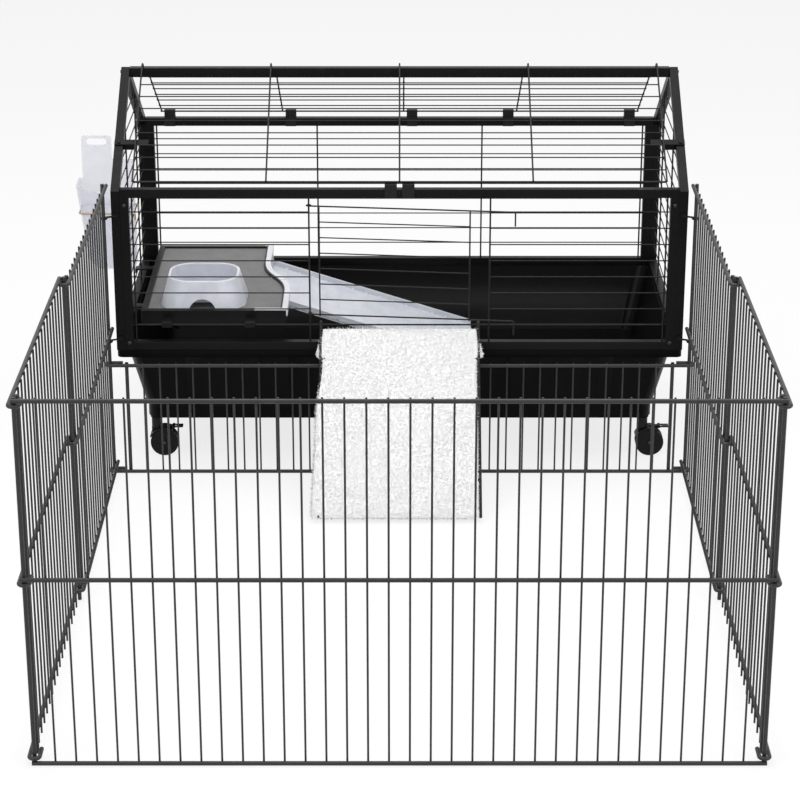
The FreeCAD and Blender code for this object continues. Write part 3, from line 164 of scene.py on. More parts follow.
def eased(node, body, finish, width, shortest=0.0):
    """The node's own form with its sharp edges rounded, those over the shortest length, standing for the node."""
    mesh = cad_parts[node].data.copy()
    mesh.name = node + "_eased"
    shape = bmesh.new()
    shape.from_mesh(mesh)
    bmesh.ops.remove_doubles(shape, verts=shape.verts, dist=MERGE_NEAR)
    bmesh.ops.dissolve_limit(shape, angle_limit=math.radians(FLAT_ANGLE), verts=shape.verts, edges=shape.edges)
    sharp = [e for e in shape.edges if len(e.link_faces) == 2 and e.calc_length() > shortest * MM
             and e.calc_face_angle(0.0) > math.radians(SHARP_ANGLE)]
    if width:
        bmesh.ops.bevel(shape, geom=sharp, offset=width * MM, offset_type="OFFSET", segments=2,
                        profile=0.5, affect="EDGES", clamp_overlap=True)
    bmesh.ops.triangulate(shape, faces=[f for f in shape.faces if len(f.verts) > 4])
    shape.to_mesh(mesh)
    shape.free()
    mesh.materials.clear()
    mesh.materials.append(finish)
    for polygon in mesh.polygons:
        polygon.material_index = 0
    smooth(mesh, SHADE_ANGLE)
    piece = placed(node + "_eased", mesh)
    piece.modifiers.new("Even faces", "WEIGHTED_NORMAL").keep_sharp = True
    return finished(piece, body, node)


tube_coat = powder_coat("Black tube powder coat", (0.003, 0.003, 0.0034, 1), (0.009, 0.0088, 0.0092, 1), 0.34, 0.1)
TUBE_EDGE, TUBE_WIDE = 1.6, 18.0
for tube in ("side_frame_left", "side_frame_right", "front_frame", "rear_frame", "ridge_beam"):
    eased(tube, "cage", tube_coat, TUBE_EDGE)
RAIL_SHORTEST = TUBE_WIDE + 2.0
for rail in ("side_base_rail_left", "side_base_rail_right", "front_base_rail", "rear_base_rail"):
    eased(rail, "cage", tube_coat, TUBE_EDGE, RAIL_SHORTEST)

# Screws that tie the yokes to the gabled ends: blackened steel, domed heads with a cross recess.
# Each is driven through the upright from outside and stands on the coat.
black_steel, shader, place = new_finish("Blackened screw steel")
swirl = grain(place, 700.0, 3.0)
feed(shader, "Base Color", swirl.mixed((0.03, 0.03, 0.031, 1), (0.08, 0.08, 0.082, 1)))
feed(shader, "Roughness", 0.28 + swirl * 0.2)
shader.inputs["Metallic"].default_value = 1.0
bump(shader, swirl, 0.2, 0.0003)


def tree_piece(name, mesh, tree, values, degrees):
    """A plain mesh made by a node tree from a mesh of lines or points; values fill the tree's inputs."""
    seed = placed(name + "_seed", mesh)
    maker = seed.modifiers.new("Maker", "NODES")
    maker.node_group = tree
    for item in tree.interface.items_tree:
        if item.item_type == "SOCKET" and item.in_out == "INPUT" and item.name in values:
            maker[item.identifier] = values[item.name]
    graph = bpy.context.evaluated_depsgraph_get()
    made = bpy.data.meshes.new_from_object(seed.evaluated_get(graph))
    made.name = name
    seed.modifiers.remove(maker)
    bpy.data.objects.remove(seed)
    smooth(made, degrees)
    return placed(name, made)


def new_tree(name, inputs):
    tree = bpy.data.node_groups.new(name, "GeometryNodeTree")
    tree.interface.new_socket("Geometry", in_out="INPUT", socket_type="NodeSocketGeometry")
    for label, kind in inputs:
        tree.interface.new_socket(label, in_out="INPUT", socket_type="NodeSocket" + kind)
    tree.interface.new_socket("Geometry", in_out="OUTPUT", socket_type="NodeSocketGeometry")
    return tree, tree.nodes.new("NodeGroupInput"), tree.nodes.new("NodeGroupOutput")


def join(tree, source, target):
    tree.links.new(source, target)


def carried(tree, name, kind):
    """The value of that name which each line or point carries."""
    made = tree.nodes.new("GeometryNodeInputNamedAttribute")
    made.data_type = kind
    made.inputs["Name"].default_value = name
    return made.outputs["Attribute"]


def closed(tree, given, result, shape):
    """Ends a tree: what it made becomes plain faces and takes the finish."""
    real = tree.nodes.new("GeometryNodeRealizeInstances")
    dress = tree.nodes.new("GeometryNodeSetMaterial")
    join(tree, shape, real.inputs["Geometry"])
    join(tree, real.outputs["Geometry"], dress.inputs["Geometry"])
    join(tree, given.outputs["Finish"], dress.inputs["Material"])
    join(tree, dress.outputs["Geometry"], result.inputs["Geometry"])


screw_tree, given, result = new_tree("Screw heads", [("Head", "Object"), ("Finish", "Material")])
heads = screw_tree.nodes.new("GeometryNodeInstanceOnPoints")
head_in = screw_tree.nodes.new("GeometryNodeObjectInfo")
aim = screw_tree.nodes.new("FunctionNodeAlignRotationToVector")
aim.axis = "Z"
join(screw_tree, given.outputs["Geometry"], heads.inputs["Points"])
join(screw_tree, given.outputs["Head"], head_in.inputs["Object"])
join(screw_tree, head_in.outputs["Geometry"], heads.inputs["Instance"])
join(screw_tree, carried(screw_tree, "facing", "FLOAT_VECTOR"), aim.inputs["Vector"])
join(screw_tree, aim.outputs["Rotation"], heads.inputs["Rotation"])
closed(screw_tree, given, result, heads.outputs["Instances"])

SCREW_HEAD, SCREW_RISE, SCREW_RECESS = 4.0, 2.5, 0.9
SCREW_DOME = ((1.0, 0.0), (1.0, 0.7), (0.93, 1.4), (0.75, 2.0), (0.5, SCREW_RISE))
SCREW_SIDES = 24
QUARTER = SCREW_SIDES // 4
RECESS_ARM, RECESS_WAIST, RECESS_FLOOR = 0.42, 0.18, 0.8
head = bmesh.new()


def head_ring(radii, height):
    """One ring of the head, with a radius in mm for each of its sides."""
    turns = [i * math.tau / SCREW_SIDES for i in range(SCREW_SIDES)]
    return [head.verts.new((radius * MM * math.cos(turn), radius * MM * math.sin(turn), height * MM))
            for radius, turn in zip(radii, turns)]


rings = [head_ring([SCREW_HEAD * share] * SCREW_SIDES, height) for share, height in SCREW_DOME]
arms = [SCREW_HEAD * (RECESS_ARM if i % QUARTER in (0, 1, QUARTER - 1) else RECESS_WAIST) for i in range(SCREW_SIDES)]
rings.append(head_ring(arms, SCREW_RISE))
rings.append(head_ring([arm * RECESS_FLOOR for arm in arms], SCREW_RISE - SCREW_RECESS))
for low, high in zip(rings, rings[1:]):
    for i in range(SCREW_SIDES):
        after = (i + 1) % SCREW_SIDES
        head.faces.new((low[i], low[after], high[after], high[i]))
head.faces.new(rings[-1])
head.faces.new(rings[0][::-1])
head_mesh = bpy.data.meshes.new("screw_head")
head.to_mesh(head_mesh)
head.free()
head_object = placed("screw_head", head_mesh)
UPRIGHT_X, SCREW_HIGH_Z, SCREW_LOW_Z = 563.0, 581.0, 283.0
CAGE_SIDE_X, CAGE_DEEP, RIDGE_Z = 590.0, 584.0, 789.0
HALF_DEEP = CAGE_DEEP / 2
spots = []
for x in (-UPRIGHT_X, UPRIGHT_X):
    for y, out in ((0.0, -1.0), (CAGE_DEEP, 1.0)):
        for z in (SCREW_HIGH_Z, SCREW_LOW_Z):
            spots.append((cage(x, y, z), (0.0, out, 0.0)))
for side in (-1.0, 1.0):
    spots.append((cage(side * CAGE_SIDE_X, HALF_DEEP, RIDGE_Z), (side, 0.0, 0.0)))
spot_mesh = bpy.data.meshes.new("screw_spots")
spot_mesh.from_pydata([spot for spot, out in spots], [], [])
ways = spot_mesh.attributes.new("facing", "FLOAT_VECTOR", "POINT")
for i, (spot, out) in enumerate(spots):
    ways.data[i].vector = out
screws = tree_piece("screw_heads", spot_mesh, screw_tree, {"Head": head_object, "Finish": black_steel}, 32.0)
bpy.data.objects.remove(head_object)
finished(screws, "cage", "frame_screws")

# Grilles of the walls: drawn steel wire, laid in rows, spot welded to thicker uprights and coated black.
# The rows end in the tubes; each crossing shows the small bead that the weld pressed out.
wire_tree, given, result = new_tree("Wires on lines", [("Sides", "Int"), ("Finish", "Material")])
lines = wire_tree.nodes.new("GeometryNodeMeshToCurve")
ring = wire_tree.nodes.new("GeometryNodeCurvePrimitiveCircle")
ring.inputs["Radius"].default_value = 1.0
skin = wire_tree.nodes.new("GeometryNodeCurveToMesh")
skin.inputs["Fill Caps"].default_value = True
join(wire_tree, given.outputs["Geometry"], lines.inputs["Mesh"])
join(wire_tree, lines.outputs["Curve"], skin.inputs["Curve"])
join(wire_tree, given.outputs["Sides"], ring.inputs["Resolution"])
join(wire_tree, ring.outputs["Curve"], skin.inputs["Profile Curve"])
join(wire_tree, carried(wire_tree, "gauge", "FLOAT"), skin.inputs["Scale"])
closed(wire_tree, given, result, skin.outputs["Mesh"])

bead_tree, given, result = new_tree("Weld beads", [("Finish", "Material")])
beads = bead_tree.nodes.new("GeometryNodeInstanceOnPoints")
ball = bead_tree.nodes.new("GeometryNodeMeshIcoSphere")
ball.inputs["Radius"].default_value = 1.0
ball.inputs["Subdivisions"].default_value = 2
join(bead_tree, given.outputs["Geometry"], beads.inputs["Points"])
join(bead_tree, ball.outputs["Mesh"], beads.inputs["Instance"])
join(bead_tree, carried(bead_tree, "spread", "FLOAT_VECTOR"), beads.inputs["Scale"])
closed(bead_tree, given, result, beads.outputs["Instances"])

WIRE_SHADE, BEAD_SHADE = 50.0, 60.0


def wire_piece(name, runs, beads, body, finish, node, sides=12):
    """One piece of wires: runs are (places in mm, radius in mm), beads are (place in mm, half sizes in mm)."""
    verts, edges, gauges = [], [], []
    for places, radius in runs:
        first = len(verts)
        verts += [cage(*place) for place in places]
        gauges += [radius * MM] * len(places)
        edges += [(first + i, first + i + 1) for i in range(len(places) - 1)]
    mesh = bpy.data.meshes.new(name + "_lines")
    mesh.from_pydata(verts, edges, [])
    mesh.attributes.new("gauge", "FLOAT", "POINT").data.foreach_set("value", gauges)
    piece = tree_piece(name, mesh, wire_tree, {"Sides": sides, "Finish": finish}, WIRE_SHADE)
    if beads:
        dots = bpy.data.meshes.new(name + "_dots")
        dots.from_pydata([cage(*place) for place, half in beads], [], [])
        halves = [size * MM for place, half in beads for size in half]
        dots.attributes.new("spread", "FLOAT_VECTOR", "POINT").data.foreach_set("vector", halves)
        welds = tree_piece(name + "_welds", dots, bead_tree, {"Finish": finish}, BEAD_SHADE)
        both = bmesh.new()
        both.from_mesh(piece.data)
        both.from_mesh(welds.data)
        both.to_mesh(piece.data)
        both.free()
        bpy.data.objects.remove(welds)
    smooth(piece.data, WIRE_SHADE)
    return finished(piece, body, node)


wire_coat = powder_coat("Black wire coat", (0.006, 0.0055, 0.005, 1), (0.016, 0.0145, 0.0135, 1), 0.34, 0.2)
ROW_WIRE, POST_WIRE, WELD_GAP = 1.3, 1.8, 0.05
ROW_PITCH, WALL_ROWS, GABLE_ROWS = 35.0, 8, 12
SILL_HEIGHT, WALL_FOOT, WALL_HEAD = 320.0, 285.0, 597.0
CAGE_INNER_X, EDGE_POST_X, JAMB_X = 554.0, 548.0, 186.0
ROW_Y, POST_Y, SILL_Y = 9.0, 5.85, 9.5
rows = [SILL_HEIGHT + ROW_PITCH * i for i in range(WALL_ROWS)]
weld_size = (2.1, 1.5, 2.1)
for side, name in ((-1, "left"), (1, "right")):
    runs = [([(side * x, POST_Y, WALL_FOOT), (side * x, POST_Y, WALL_HEAD)], POST_WIRE) for x in (EDGE_POST_X, JAMB_X)]
    runs += [([(side * CAGE_INNER_X, ROW_Y, z), (side * JAMB_X, ROW_Y, z)], ROW_WIRE) for z in rows[1:]]
    dots = [((side * x, (ROW_Y + POST_Y) / 2, z), weld_size) for x in (EDGE_POST_X, JAMB_X) for z in rows[1:]]
    wire_piece("front_wires_" + name, runs, dots, "cage", wire_coat, "front_grille_" + name)
posts = (-EDGE_POST_X, -JAMB_X, JAMB_X, EDGE_POST_X)
runs = [([(-CAGE_INNER_X, SILL_Y, SILL_HEIGHT), (CAGE_INNER_X, SILL_Y, SILL_HEIGHT)], POST_WIRE)]
dots = [((x, (SILL_Y + POST_Y) / 2, SILL_HEIGHT), weld_size) for x in posts]
wire_piece("sill_wire", runs, dots, "cage", wire_coat, "front_sill_wire")
REAR_ROW_Y, REAR_POST_Y = 575.0, 571.85
runs = [([(x, REAR_POST_Y, WALL_FOOT), (x, REAR_POST_Y, WALL_HEAD)], POST_WIRE) for x in posts]
runs += [([(-CAGE_INNER_X, REAR_ROW_Y, z), (CAGE_INNER_X, REAR_ROW_Y, z)], ROW_WIRE) for z in rows]
dots = [((x, (REAR_ROW_Y + REAR_POST_Y) / 2, z), weld_size) for x in posts for z in rows]
wire_piece("rear_wires", runs, dots, "cage", wire_coat, "rear_grille")

EAVE_Z, HALF_TUBE = 606.0, TUBE_WIDE / 2
RAFTER_RISE = (RIDGE_Z - EAVE_Z) / (HALF_DEEP - HALF_TUBE)
RAFTER_HALF = HALF_TUBE * math.hypot(1.0, RAFTER_RISE)
GABLE_ROW_X, GABLE_WELD_X, GABLE_POST_X = 581.0, 579.4, 577.85
GABLE_POSTS_Y = (210.24, 408.8)
gable_weld = (1.5, 2.1, 2.1)
for side, name in ((-1, "left"), (1, "right")):
    runs, dots = [], []
    for i in range(GABLE_ROWS):
        z = SILL_HEIGHT + ROW_PITCH * i
        near = max(TUBE_WIDE, HALF_TUBE + (z + ROW_WIRE + WELD_GAP + RAFTER_HALF - EAVE_Z) / RAFTER_RISE)
        runs.append(([(side * GABLE_ROW_X, near, z), (side * GABLE_ROW_X, CAGE_DEEP - near, z)], ROW_WIRE))
        dots += [((side * GABLE_WELD_X, y, z), gable_weld) for y in GABLE_POSTS_Y if near < min(y, CAGE_DEEP - y)]
    for y in GABLE_POSTS_Y:
        top = EAVE_Z + (min(y, CAGE_DEEP - y) - HALF_TUBE) * RAFTER_RISE - RAFTER_HALF - POST_WIRE * RAFTER_RISE
        runs.append(([(side * GABLE_POST_X, y, WALL_FOOT), (side * GABLE_POST_X, y, top)], POST_WIRE))
    wire_piece("gable_wires_" + name, runs, dots, "cage", wire_coat, "side_grille_" + name)

# Rear half of the roof: a fixed grille of welded wire from the ridge to a rim wire above the rear eave.
# Black moulded clips snap over the eave tube, and the rim runs through them.
RIDGE_WIDE, ROOF_ROWS = 20.0, 6
LID_HALF, LID_STEP, LID_CROSS, ASIDE = 545.0, 272.5, 5, 9.0
RIM_Y, RIM_Z = 575.0, 629.0
slope = math.atan(RAFTER_RISE)
ridge_back = HALF_DEEP + RIDGE_WIDE / 2
roof_head = Vector((0.0, ridge_back + POST_WIRE * math.sin(slope) + WELD_GAP, RIDGE_Z + POST_WIRE))
roof_rim = Vector((0.0, RIM_Y, RIM_Z))
fall = (roof_rim - roof_head).normalized()
tail = roof_rim + Vector((0.0, -fall.z, fall.y)) * (2 * POST_WIRE + WELD_GAP)
lean = (tail - roof_head).normalized()
roof_run = (tail - roof_head).length
under = Vector((0.0, lean.z, -lean.y)) * (POST_WIRE + ROW_WIRE + WELD_GAP)
roof_half = LID_HALF - ASIDE + POST_WIRE
lid_x = [-LID_HALF + i * LID_STEP for i in range(LID_CROSS)]
cross_x = [x + (ASIDE if i <= LID_CROSS // 2 else -ASIDE) for i, x in enumerate(lid_x)]
slope_weld = (2.1, 1.7, 1.7)
runs, dots = [], []
for x in cross_x:
    top = roof_head + Vector((x, 0.0, 0.0))
    runs.append(([tuple(top), tuple(top + lean * (roof_run + POST_WIRE))], POST_WIRE))
    dots.append(((x, roof_rim.y - fall.z * POST_WIRE, roof_rim.z + fall.y * POST_WIRE), slope_weld))
for i in range(1, ROOF_ROWS + 1):
    row = roof_head + lean * (roof_run * i / (ROOF_ROWS + 1)) + under
    runs.append(([(-roof_half, row.y, row.z), (roof_half, row.y, row.z)], ROW_WIRE))
    dots += [((x, row.y - under.y / 2, row.z - under.z / 2), slope_weld) for x in cross_x]
runs.append(([(-roof_half, RIM_Y, RIM_Z), (roof_half, RIM_Y, RIM_Z)], POST_WIRE))
wire_piece("rear_roof_wires", runs, dots, "cage", wire_coat, "rear_roof_grille")


def moulded_black(name, dark, light, roughness, grain_scale, depth):
    """Injection moulded black plastic: a fine spark grain, faint flow marks and a soft sheen."""
    material, shader, place = new_finish(name)
    shader.inputs["Specular IOR Level"].default_value = 0.15
    spark = grain(place, grain_scale, 2.0)
    flow = grain(place, 6.0, 5.0, 0.6)
    feed(shader, "Base Color", flow.mixed(dark, light))
    feed(shader, "Roughness", roughness + flow * 0.14 + spark * 0.06)
    bump(shader, spark, 0.18, depth)
    return material


clip_plastic = moulded_black("Black clip plastic", (0.006, 0.006, 0.0065, 1), (0.015, 0.015, 0.0155, 1),
                             0.32, 1400.0, 0.0003)
CLIP_EDGE = 0.7
eased("rear_eave_clips", "cage", clip_plastic, CLIP_EDGE)

# Roof lid, the front slope: welded wire whose cross wires hook over the ridge beam, so it lifts and turns there.
# Its thick front edge lies in two moulded catches on the eave; two flat bars on the rafters carry its sides.
RUN_GAP = 0.8
HOOK_RADIUS, HOOK_TURN = RIDGE_WIDE / math.sqrt(2.0) + RUN_GAP + POST_WIRE, -165.0
LID_EDGE_Y, LID_EDGE_Z, LID_ROWS, RIM_WIRE = 5.0, 631.0, 8, 2.2


def round_bend(centre, start, axis, degrees, steps=14):
    """Places along a bend: an arm from the centre, turned about an axis."""
    middle, pivot = Vector(centre), Vector(axis)
    arm = Vector(start) - middle
    turns = [Matrix.Rotation(math.radians(degrees * i / steps), 3, pivot) for i in range(steps + 1)]
    return [tuple(middle + turn @ arm) for turn in turns]


hinge = Vector((0.0, HALF_DEEP, RIDGE_Z))
edge = Vector((0.0, LID_EDGE_Y, LID_EDGE_Z))
tilt = math.atan2(hinge.z - edge.z, hinge.y - edge.y) + math.asin(HOOK_RADIUS / (edge - hinge).length)
up_lid = Vector((0.0, math.cos(tilt), math.sin(tilt)))
off_lid = Vector((0.0, -math.sin(tilt), math.cos(tilt)))
contact = hinge + off_lid * HOOK_RADIUS
lid_run = (contact - edge).length
rim_weld = (2.4, 1.9, 1.9)
runs, dots = [], []
for x in lid_x:
    shift = Vector((x, 0.0, 0.0))
    hook = round_bend(hinge + shift, contact + shift, (1, 0, 0), HOOK_TURN, 20)
    runs.append(([tuple(contact - up_lid * lid_run + shift)] + hook, POST_WIRE))
drop = off_lid * (POST_WIRE + ROW_WIRE + WELD_GAP)
for i in range(1, LID_ROWS + 1):
    row = contact - up_lid * (HOOK_RADIUS + (lid_run - HOOK_RADIUS) / (LID_ROWS + 1) * i) - drop
    runs.append(([(-LID_HALF, row.y, row.z), (LID_HALF, row.y, row.z)], ROW_WIRE))
    bead = row + drop / 2
    dots += [((x, bead.y, bead.z), slope_weld) for x in lid_x]
rim = contact - up_lid * (lid_run - RIM_WIRE) - off_lid * (POST_WIRE + RIM_WIRE + WELD_GAP)
runs.append(([(-LID_HALF, rim.y, rim.z), (LID_HALF, rim.y, rim.z)], RIM_WIRE))
dots += [((x, rim.y + off_lid.y * RIM_WIRE, rim.z + off_lid.z * RIM_WIRE), rim_weld) for x in lid_x]
wire_piece("lid_wires", runs, dots, "lid", wire_coat, "roof_lid")
REST_EDGE = 0.6
eased("lid_catch_clips", "cage", clip_plastic, CLIP_EDGE)
for side in ("left", "right"):
    eased("lid_rest_" + side, "cage", tube_coat, REST_EDGE)

# Door: two long wires bent into eyes round the left jamb and into drop ends at the right, two uprights and bars.
# It stands a little ajar; the drop ends spring behind the right jamb when it is shut.
DOOR_WIRE, DOOR_BARS, AJAR = 1.6, 6, 6.0
DOOR_EYE, DOOR_EYE_TURN = POST_WIRE + RUN_GAP + DOOR_WIRE, -300.0
DOOR_LOW, DOOR_HIGH, DOOR_LEFT, DOOR_RIGHT = 346.0, 580.0, -164.0, 146.0
LATCH_X, LATCH_DROP = 238.0, 30.0
door_y = POST_Y - DOOR_EYE
runs, dots = [], []
for z in (DOOR_LOW, DOOR_HIGH):
    eye = round_bend((-JAMB_X, POST_Y, z), (-JAMB_X, door_y, z), (0, 0, 1), DOOR_EYE_TURN, 18)[::-1]
    bend_x = LATCH_X - DOOR_EYE
    bend = round_bend((bend_x, door_y, z - DOOR_EYE), (bend_x, door_y, z), (0, 1, 0), 90.0, 6)
    runs.append((eye + bend + [(LATCH_X, door_y, z - LATCH_DROP)], DOOR_WIRE))
post_y = door_y - 2 * DOOR_WIRE - WELD_GAP
bar_y = post_y + DOOR_WIRE + ROW_WIRE + WELD_GAP
for x in (DOOR_LEFT, DOOR_RIGHT):
    runs.append(([(x, post_y, DOOR_LOW - DOOR_WIRE), (x, post_y, DOOR_HIGH + DOOR_WIRE)], DOOR_WIRE))
    dots += [((x, (post_y + door_y) / 2, z), weld_size) for z in (DOOR_LOW, DOOR_HIGH)]
for i in range(1, DOOR_BARS + 1):
    z = DOOR_LOW + (DOOR_HIGH - DOOR_LOW) * i / (DOOR_BARS + 1)
    runs.append(([(DOOR_LEFT - DOOR_WIRE, bar_y, z), (DOOR_RIGHT + DOOR_WIRE, bar_y, z)], ROW_WIRE))
    dots += [((x, (post_y + bar_y) / 2, z), weld_size) for x in (DOOR_LEFT, DOOR_RIGHT)]
swing = Matrix.Rotation(math.radians(-AJAR), 3, "Z")
pin = Vector((-JAMB_X, POST_Y, 0.0))


def swung(place):
    return tuple(swing @ (Vector(place) - pin) + pin)


runs = [([swung(place) for place in places], radius) for places, radius in runs]
dots = [(swung(place), half) for place, half in dots]
wire_piece("door_wires", runs, dots, "door", wire_coat, "door")

# Tray: a deep vacuum-formed bath of black plastic whose rim carries the tube frame.
# Shallow flutes stiffen its long walls; a skirt and four bosses below take the casters.
tray_plastic, shader, place = new_finish("Black tray plastic")
flow = grain(place, 5.0, 6.0, 0.6)
spark = grain(place, 1600.0, 2.0)
scuff = grain(place, 55.0, 8.0, 0.7).clipped(0.6, 0.75)


def stretched(place, stretch, detail):
    """A grain drawn out along the axis with the smallest stretch."""
    return grain(place.node("ShaderNodeMapping", None, {0: place, 3: stretch}), 1.0, detail)


drawn = stretched(place, (160.0, 160.0, 1.5), 3.0)
feed(shader, "Base Color", (flow * 0.5 + scuff * 0.5).mixed((0.002, 0.002, 0.0022, 1), (0.007, 0.007, 0.0072, 1)))
feed(shader, "Roughness", 0.22 + flow * 0.14 + scuff * 0.16)
shader.inputs["Specular IOR Level"].default_value = 0.05
bump(shader, drawn * 0.75 + spark * 0.25, 0.3, 0.0008)
eased("tray", "cage", tray_plastic, 0.0)

# Casters: a moulded hooded yoke on a steel stem between two wheels; the front pair has brake pedals.
# The stems push into the tray's bosses.
caster_plastic = moulded_black("Black caster plastic", (0.006, 0.006, 0.006, 1), (0.016, 0.016, 0.0165, 1),
                               0.3, 1500.0, 0.0003)
wheel_tread, shader, place = new_finish("Dark wheel tread")
wear = grain(place, 120.0, 6.0, 0.7)
feed(shader, "Base Color", wear.mixed((0.004, 0.004, 0.0045, 1), (0.013, 0.013, 0.0135, 1)))
feed(shader, "Roughness", 0.36 + wear * 0.25)
shader.inputs["Specular IOR Level"].default_value = 0.12
bump(shader, wear, 0.25, 0.0005)
axle_steel, shader, place = new_finish("Blackened axle steel")
turned = grain(place, 800.0, 3.0)
feed(shader, "Base Color", turned.mixed((0.04, 0.04, 0.041, 1), (0.1, 0.1, 0.102, 1)))
feed(shader, "Roughness", 0.28 + turned * 0.2)
shader.inputs["Metallic"].default_value = 1.0
YOKE_EDGE, AXLE_EDGE, PEDAL_EDGE = 0.8, 0.3, 0.6
for corner in ("front_left", "front_right", "rear_left", "rear_right"):
    eased("caster_yoke_" + corner, "caster_" + corner, caster_plastic, YOKE_EDGE)
    eased("caster_axle_" + corner, "caster_" + corner, axle_steel, AXLE_EDGE)
    eased("caster_wheels_" + corner, "wheels_" + corner, wheel_tread, 0.0)
    if corner.startswith("front"):
        eased("caster_pedal_" + corner, "pedal_" + corner, caster_plastic, PEDAL_EDGE)

# Platform: one moulding with an apron and an S-shaped edge, hung by tabs on the front sill wire and a side wire.
# Its top is a grey sheet with a leathery grain, let into a black raised border.
deck_finish, shader, place = new_finish("Grained grey platform")
height = place.node("ShaderNodeSeparateXYZ", None, {0: place}, 2)
leather = place.node("ShaderNodeTexVoronoi", {"feature": "DISTANCE_TO_EDGE"}, {"Vector": place, "Scale": 480.0})
mottle = grain(place, 30.0, 6.0, 0.6)
brushed = stretched(place, (900.0, 60.0, 60.0), 2.0)
upward = place.node("ShaderNodeSeparateXYZ", None, {0: place.node("ShaderNodeNewGeometry", None, None, 1)}, 2)
DECK_SHEET, DECK_EDGE = 0.336, 0.7
not_above = height.clipped(DECK_SHEET + 0.0006, DECK_SHEET + 0.0002)
not_below = height.clipped(DECK_SHEET - 0.002, DECK_SHEET - 0.001)
sheet_part = upward.clipped(0.8, 0.95) * not_above * not_below
grey = (mottle * 0.6 + brushed * 0.4).mixed((0.1, 0.1, 0.1005, 1), (0.25, 0.25, 0.251, 1))
black = mottle.mixed((0.003, 0.003, 0.0032, 1), (0.009, 0.009, 0.0092, 1))
feed(shader, "Base Color", sheet_part.mixed(black, grey))
feed(shader, "Roughness", 0.28 + sheet_part * 0.2 + mottle * 0.08)
shader.inputs["Specular IOR Level"].default_value = 0.12
bump(shader, leather * 0.5 + brushed * 0.5, 0.35, 0.0006)
eased("platform", "cage", deck_finish, DECK_EDGE)

# Bowl: one thin moulding in frosted clear plastic, a flared skirt with a finger arch and a dish let into its top.
# It stands loose on the platform.
# The white of a painted highlight laid along the top rims of the frosted pieces, standing in for the bright light that
# their edges catch.
RIM_PAINTED_HIGHLIGHT = (0.84, 0.85, 0.88, 1)
MILKY_LIFT = 0.55
WALL_OUTER, WALL_INNER = 0.001, 0.0004


def frosted(name, tint, clear, alpha, up, rim_top, rim_highlight_deep, clear_y=0.0, side_clear=0.0):
    """Frosted polypropylene: milky, a little see-through, with a painted highlight along its rim, clearer through a
    thin front wall.
    """
    material, shader, place = new_finish(name)
    haze = grain(place, 26.0, 4.0, 0.6)
    frost = grain(place, 2200.0, 1.0)
    height = place.node("ShaderNodeVectorMath", {"operation": "DOT_PRODUCT"}, {0: place, 1: up}, 1)
    # Painted highlight: a white band just under the top edge, in place of the light that the edge catches.
    rim = height.clipped(rim_top - rim_highlight_deep * MM, rim_top - rim_highlight_deep * MM / 3)
    milky = haze.mixed(tint, tuple(MILKY_LIFT + (1 - MILKY_LIFT) * part for part in tint))
    feed(shader, "Base Color", rim.mixed(milky, RIM_PAINTED_HIGHLIGHT))
    feed(shader, "Roughness", 0.3 + haze * 0.16)
    deep = place.node("ShaderNodeSeparateXYZ", None, {0: place}, 1)
    before = deep.clipped(clear_y + WALL_OUTER, clear_y + WALL_INNER)
    behind = deep.clipped(clear_y - WALL_OUTER, clear_y - WALL_INNER)
    feed(shader, "Alpha", alpha + haze * 0.12 - before * behind * side_clear)
    shader.inputs["Transmission Weight"].default_value = clear
    shader.inputs["IOR"].default_value = 1.48
    bump(shader, frost, 0.15, 0.0002)
    return material


UPRIGHT = (0.0, 0.0, 1.0)
# The bowl's rim value is the depth in mm of the painted highlight under its top edge.
BOWL_TOP_Z, BOWL_RIM_HIGHLIGHT, BOWL_EDGE = 394.3, 2.4, 0.3
bowl_plastic = frosted("Frosted bowl plastic", (0.57, 0.595, 0.69, 1), 0.15, 0.88, UPRIGHT, BOWL_TOP_Z * MM, BOWL_RIM_HIGHLIGHT)
eased("bowl", "bowl", bowl_plastic, BOWL_EDGE)

# Inner ramp: a ribbed channel of frosted plastic; its lip hooks on the platform's edge.
# Its foot stands on the tray's floor.
# The slide's rim value is the depth in mm of the painted highlight along the ramp's top edges.
SLIDE_FALL, SLIDE_RIM_HIGHLIGHT, SLIDE_EDGE, NEAR_WALL_CLEAR = 0.32, 2.4, 0.6, 0.7
slide_up = Vector((SLIDE_FALL, 0.0, 1.0))
slide_head = cage(-288.0, 236.0, 310.0)
ramp_plastic = frosted("Frosted ramp plastic", (0.62, 0.655, 0.735, 1), 0.15, 0.84,
                       slide_up, slide_up.dot(slide_head), SLIDE_RIM_HIGHLIGHT, slide_head.y, NEAR_WALL_CLEAR)
eased("inner_ramp", "inner_ramp", ramp_plastic, SLIDE_EDGE)

# Outer ramp: two long steel rods hooked on the sill wire and tied by rungs, all coated black.
# A padded cover of white plush wraps them, with ears at the top and a lap over the left rod.
RAMP_ROD, RAMP_X, RAMP_FOOT_Y, RAMP_RUNGS = 3.0, 164.0, -276.0, 3
RAMP_HOOK, RAMP_HOOK_TURN = POST_WIRE + RUN_GAP + RAMP_ROD, -225.0
sill = Vector((0.0, SILL_Y, SILL_HEIGHT))
foot = Vector((0.0, RAMP_FOOT_Y, RAMP_ROD))
ramp_arm = foot - sill
ramp_tilt = math.atan2(-ramp_arm.z, -ramp_arm.y) - math.asin(RAMP_HOOK / ramp_arm.length)
down_ramp = Vector((0.0, -math.cos(ramp_tilt), -math.sin(ramp_tilt)))
off_ramp = Vector((0.0, -math.sin(ramp_tilt), math.cos(ramp_tilt)))
ramp_top = sill + off_ramp * RAMP_HOOK
ramp_run = (foot - ramp_top).length
runs = []
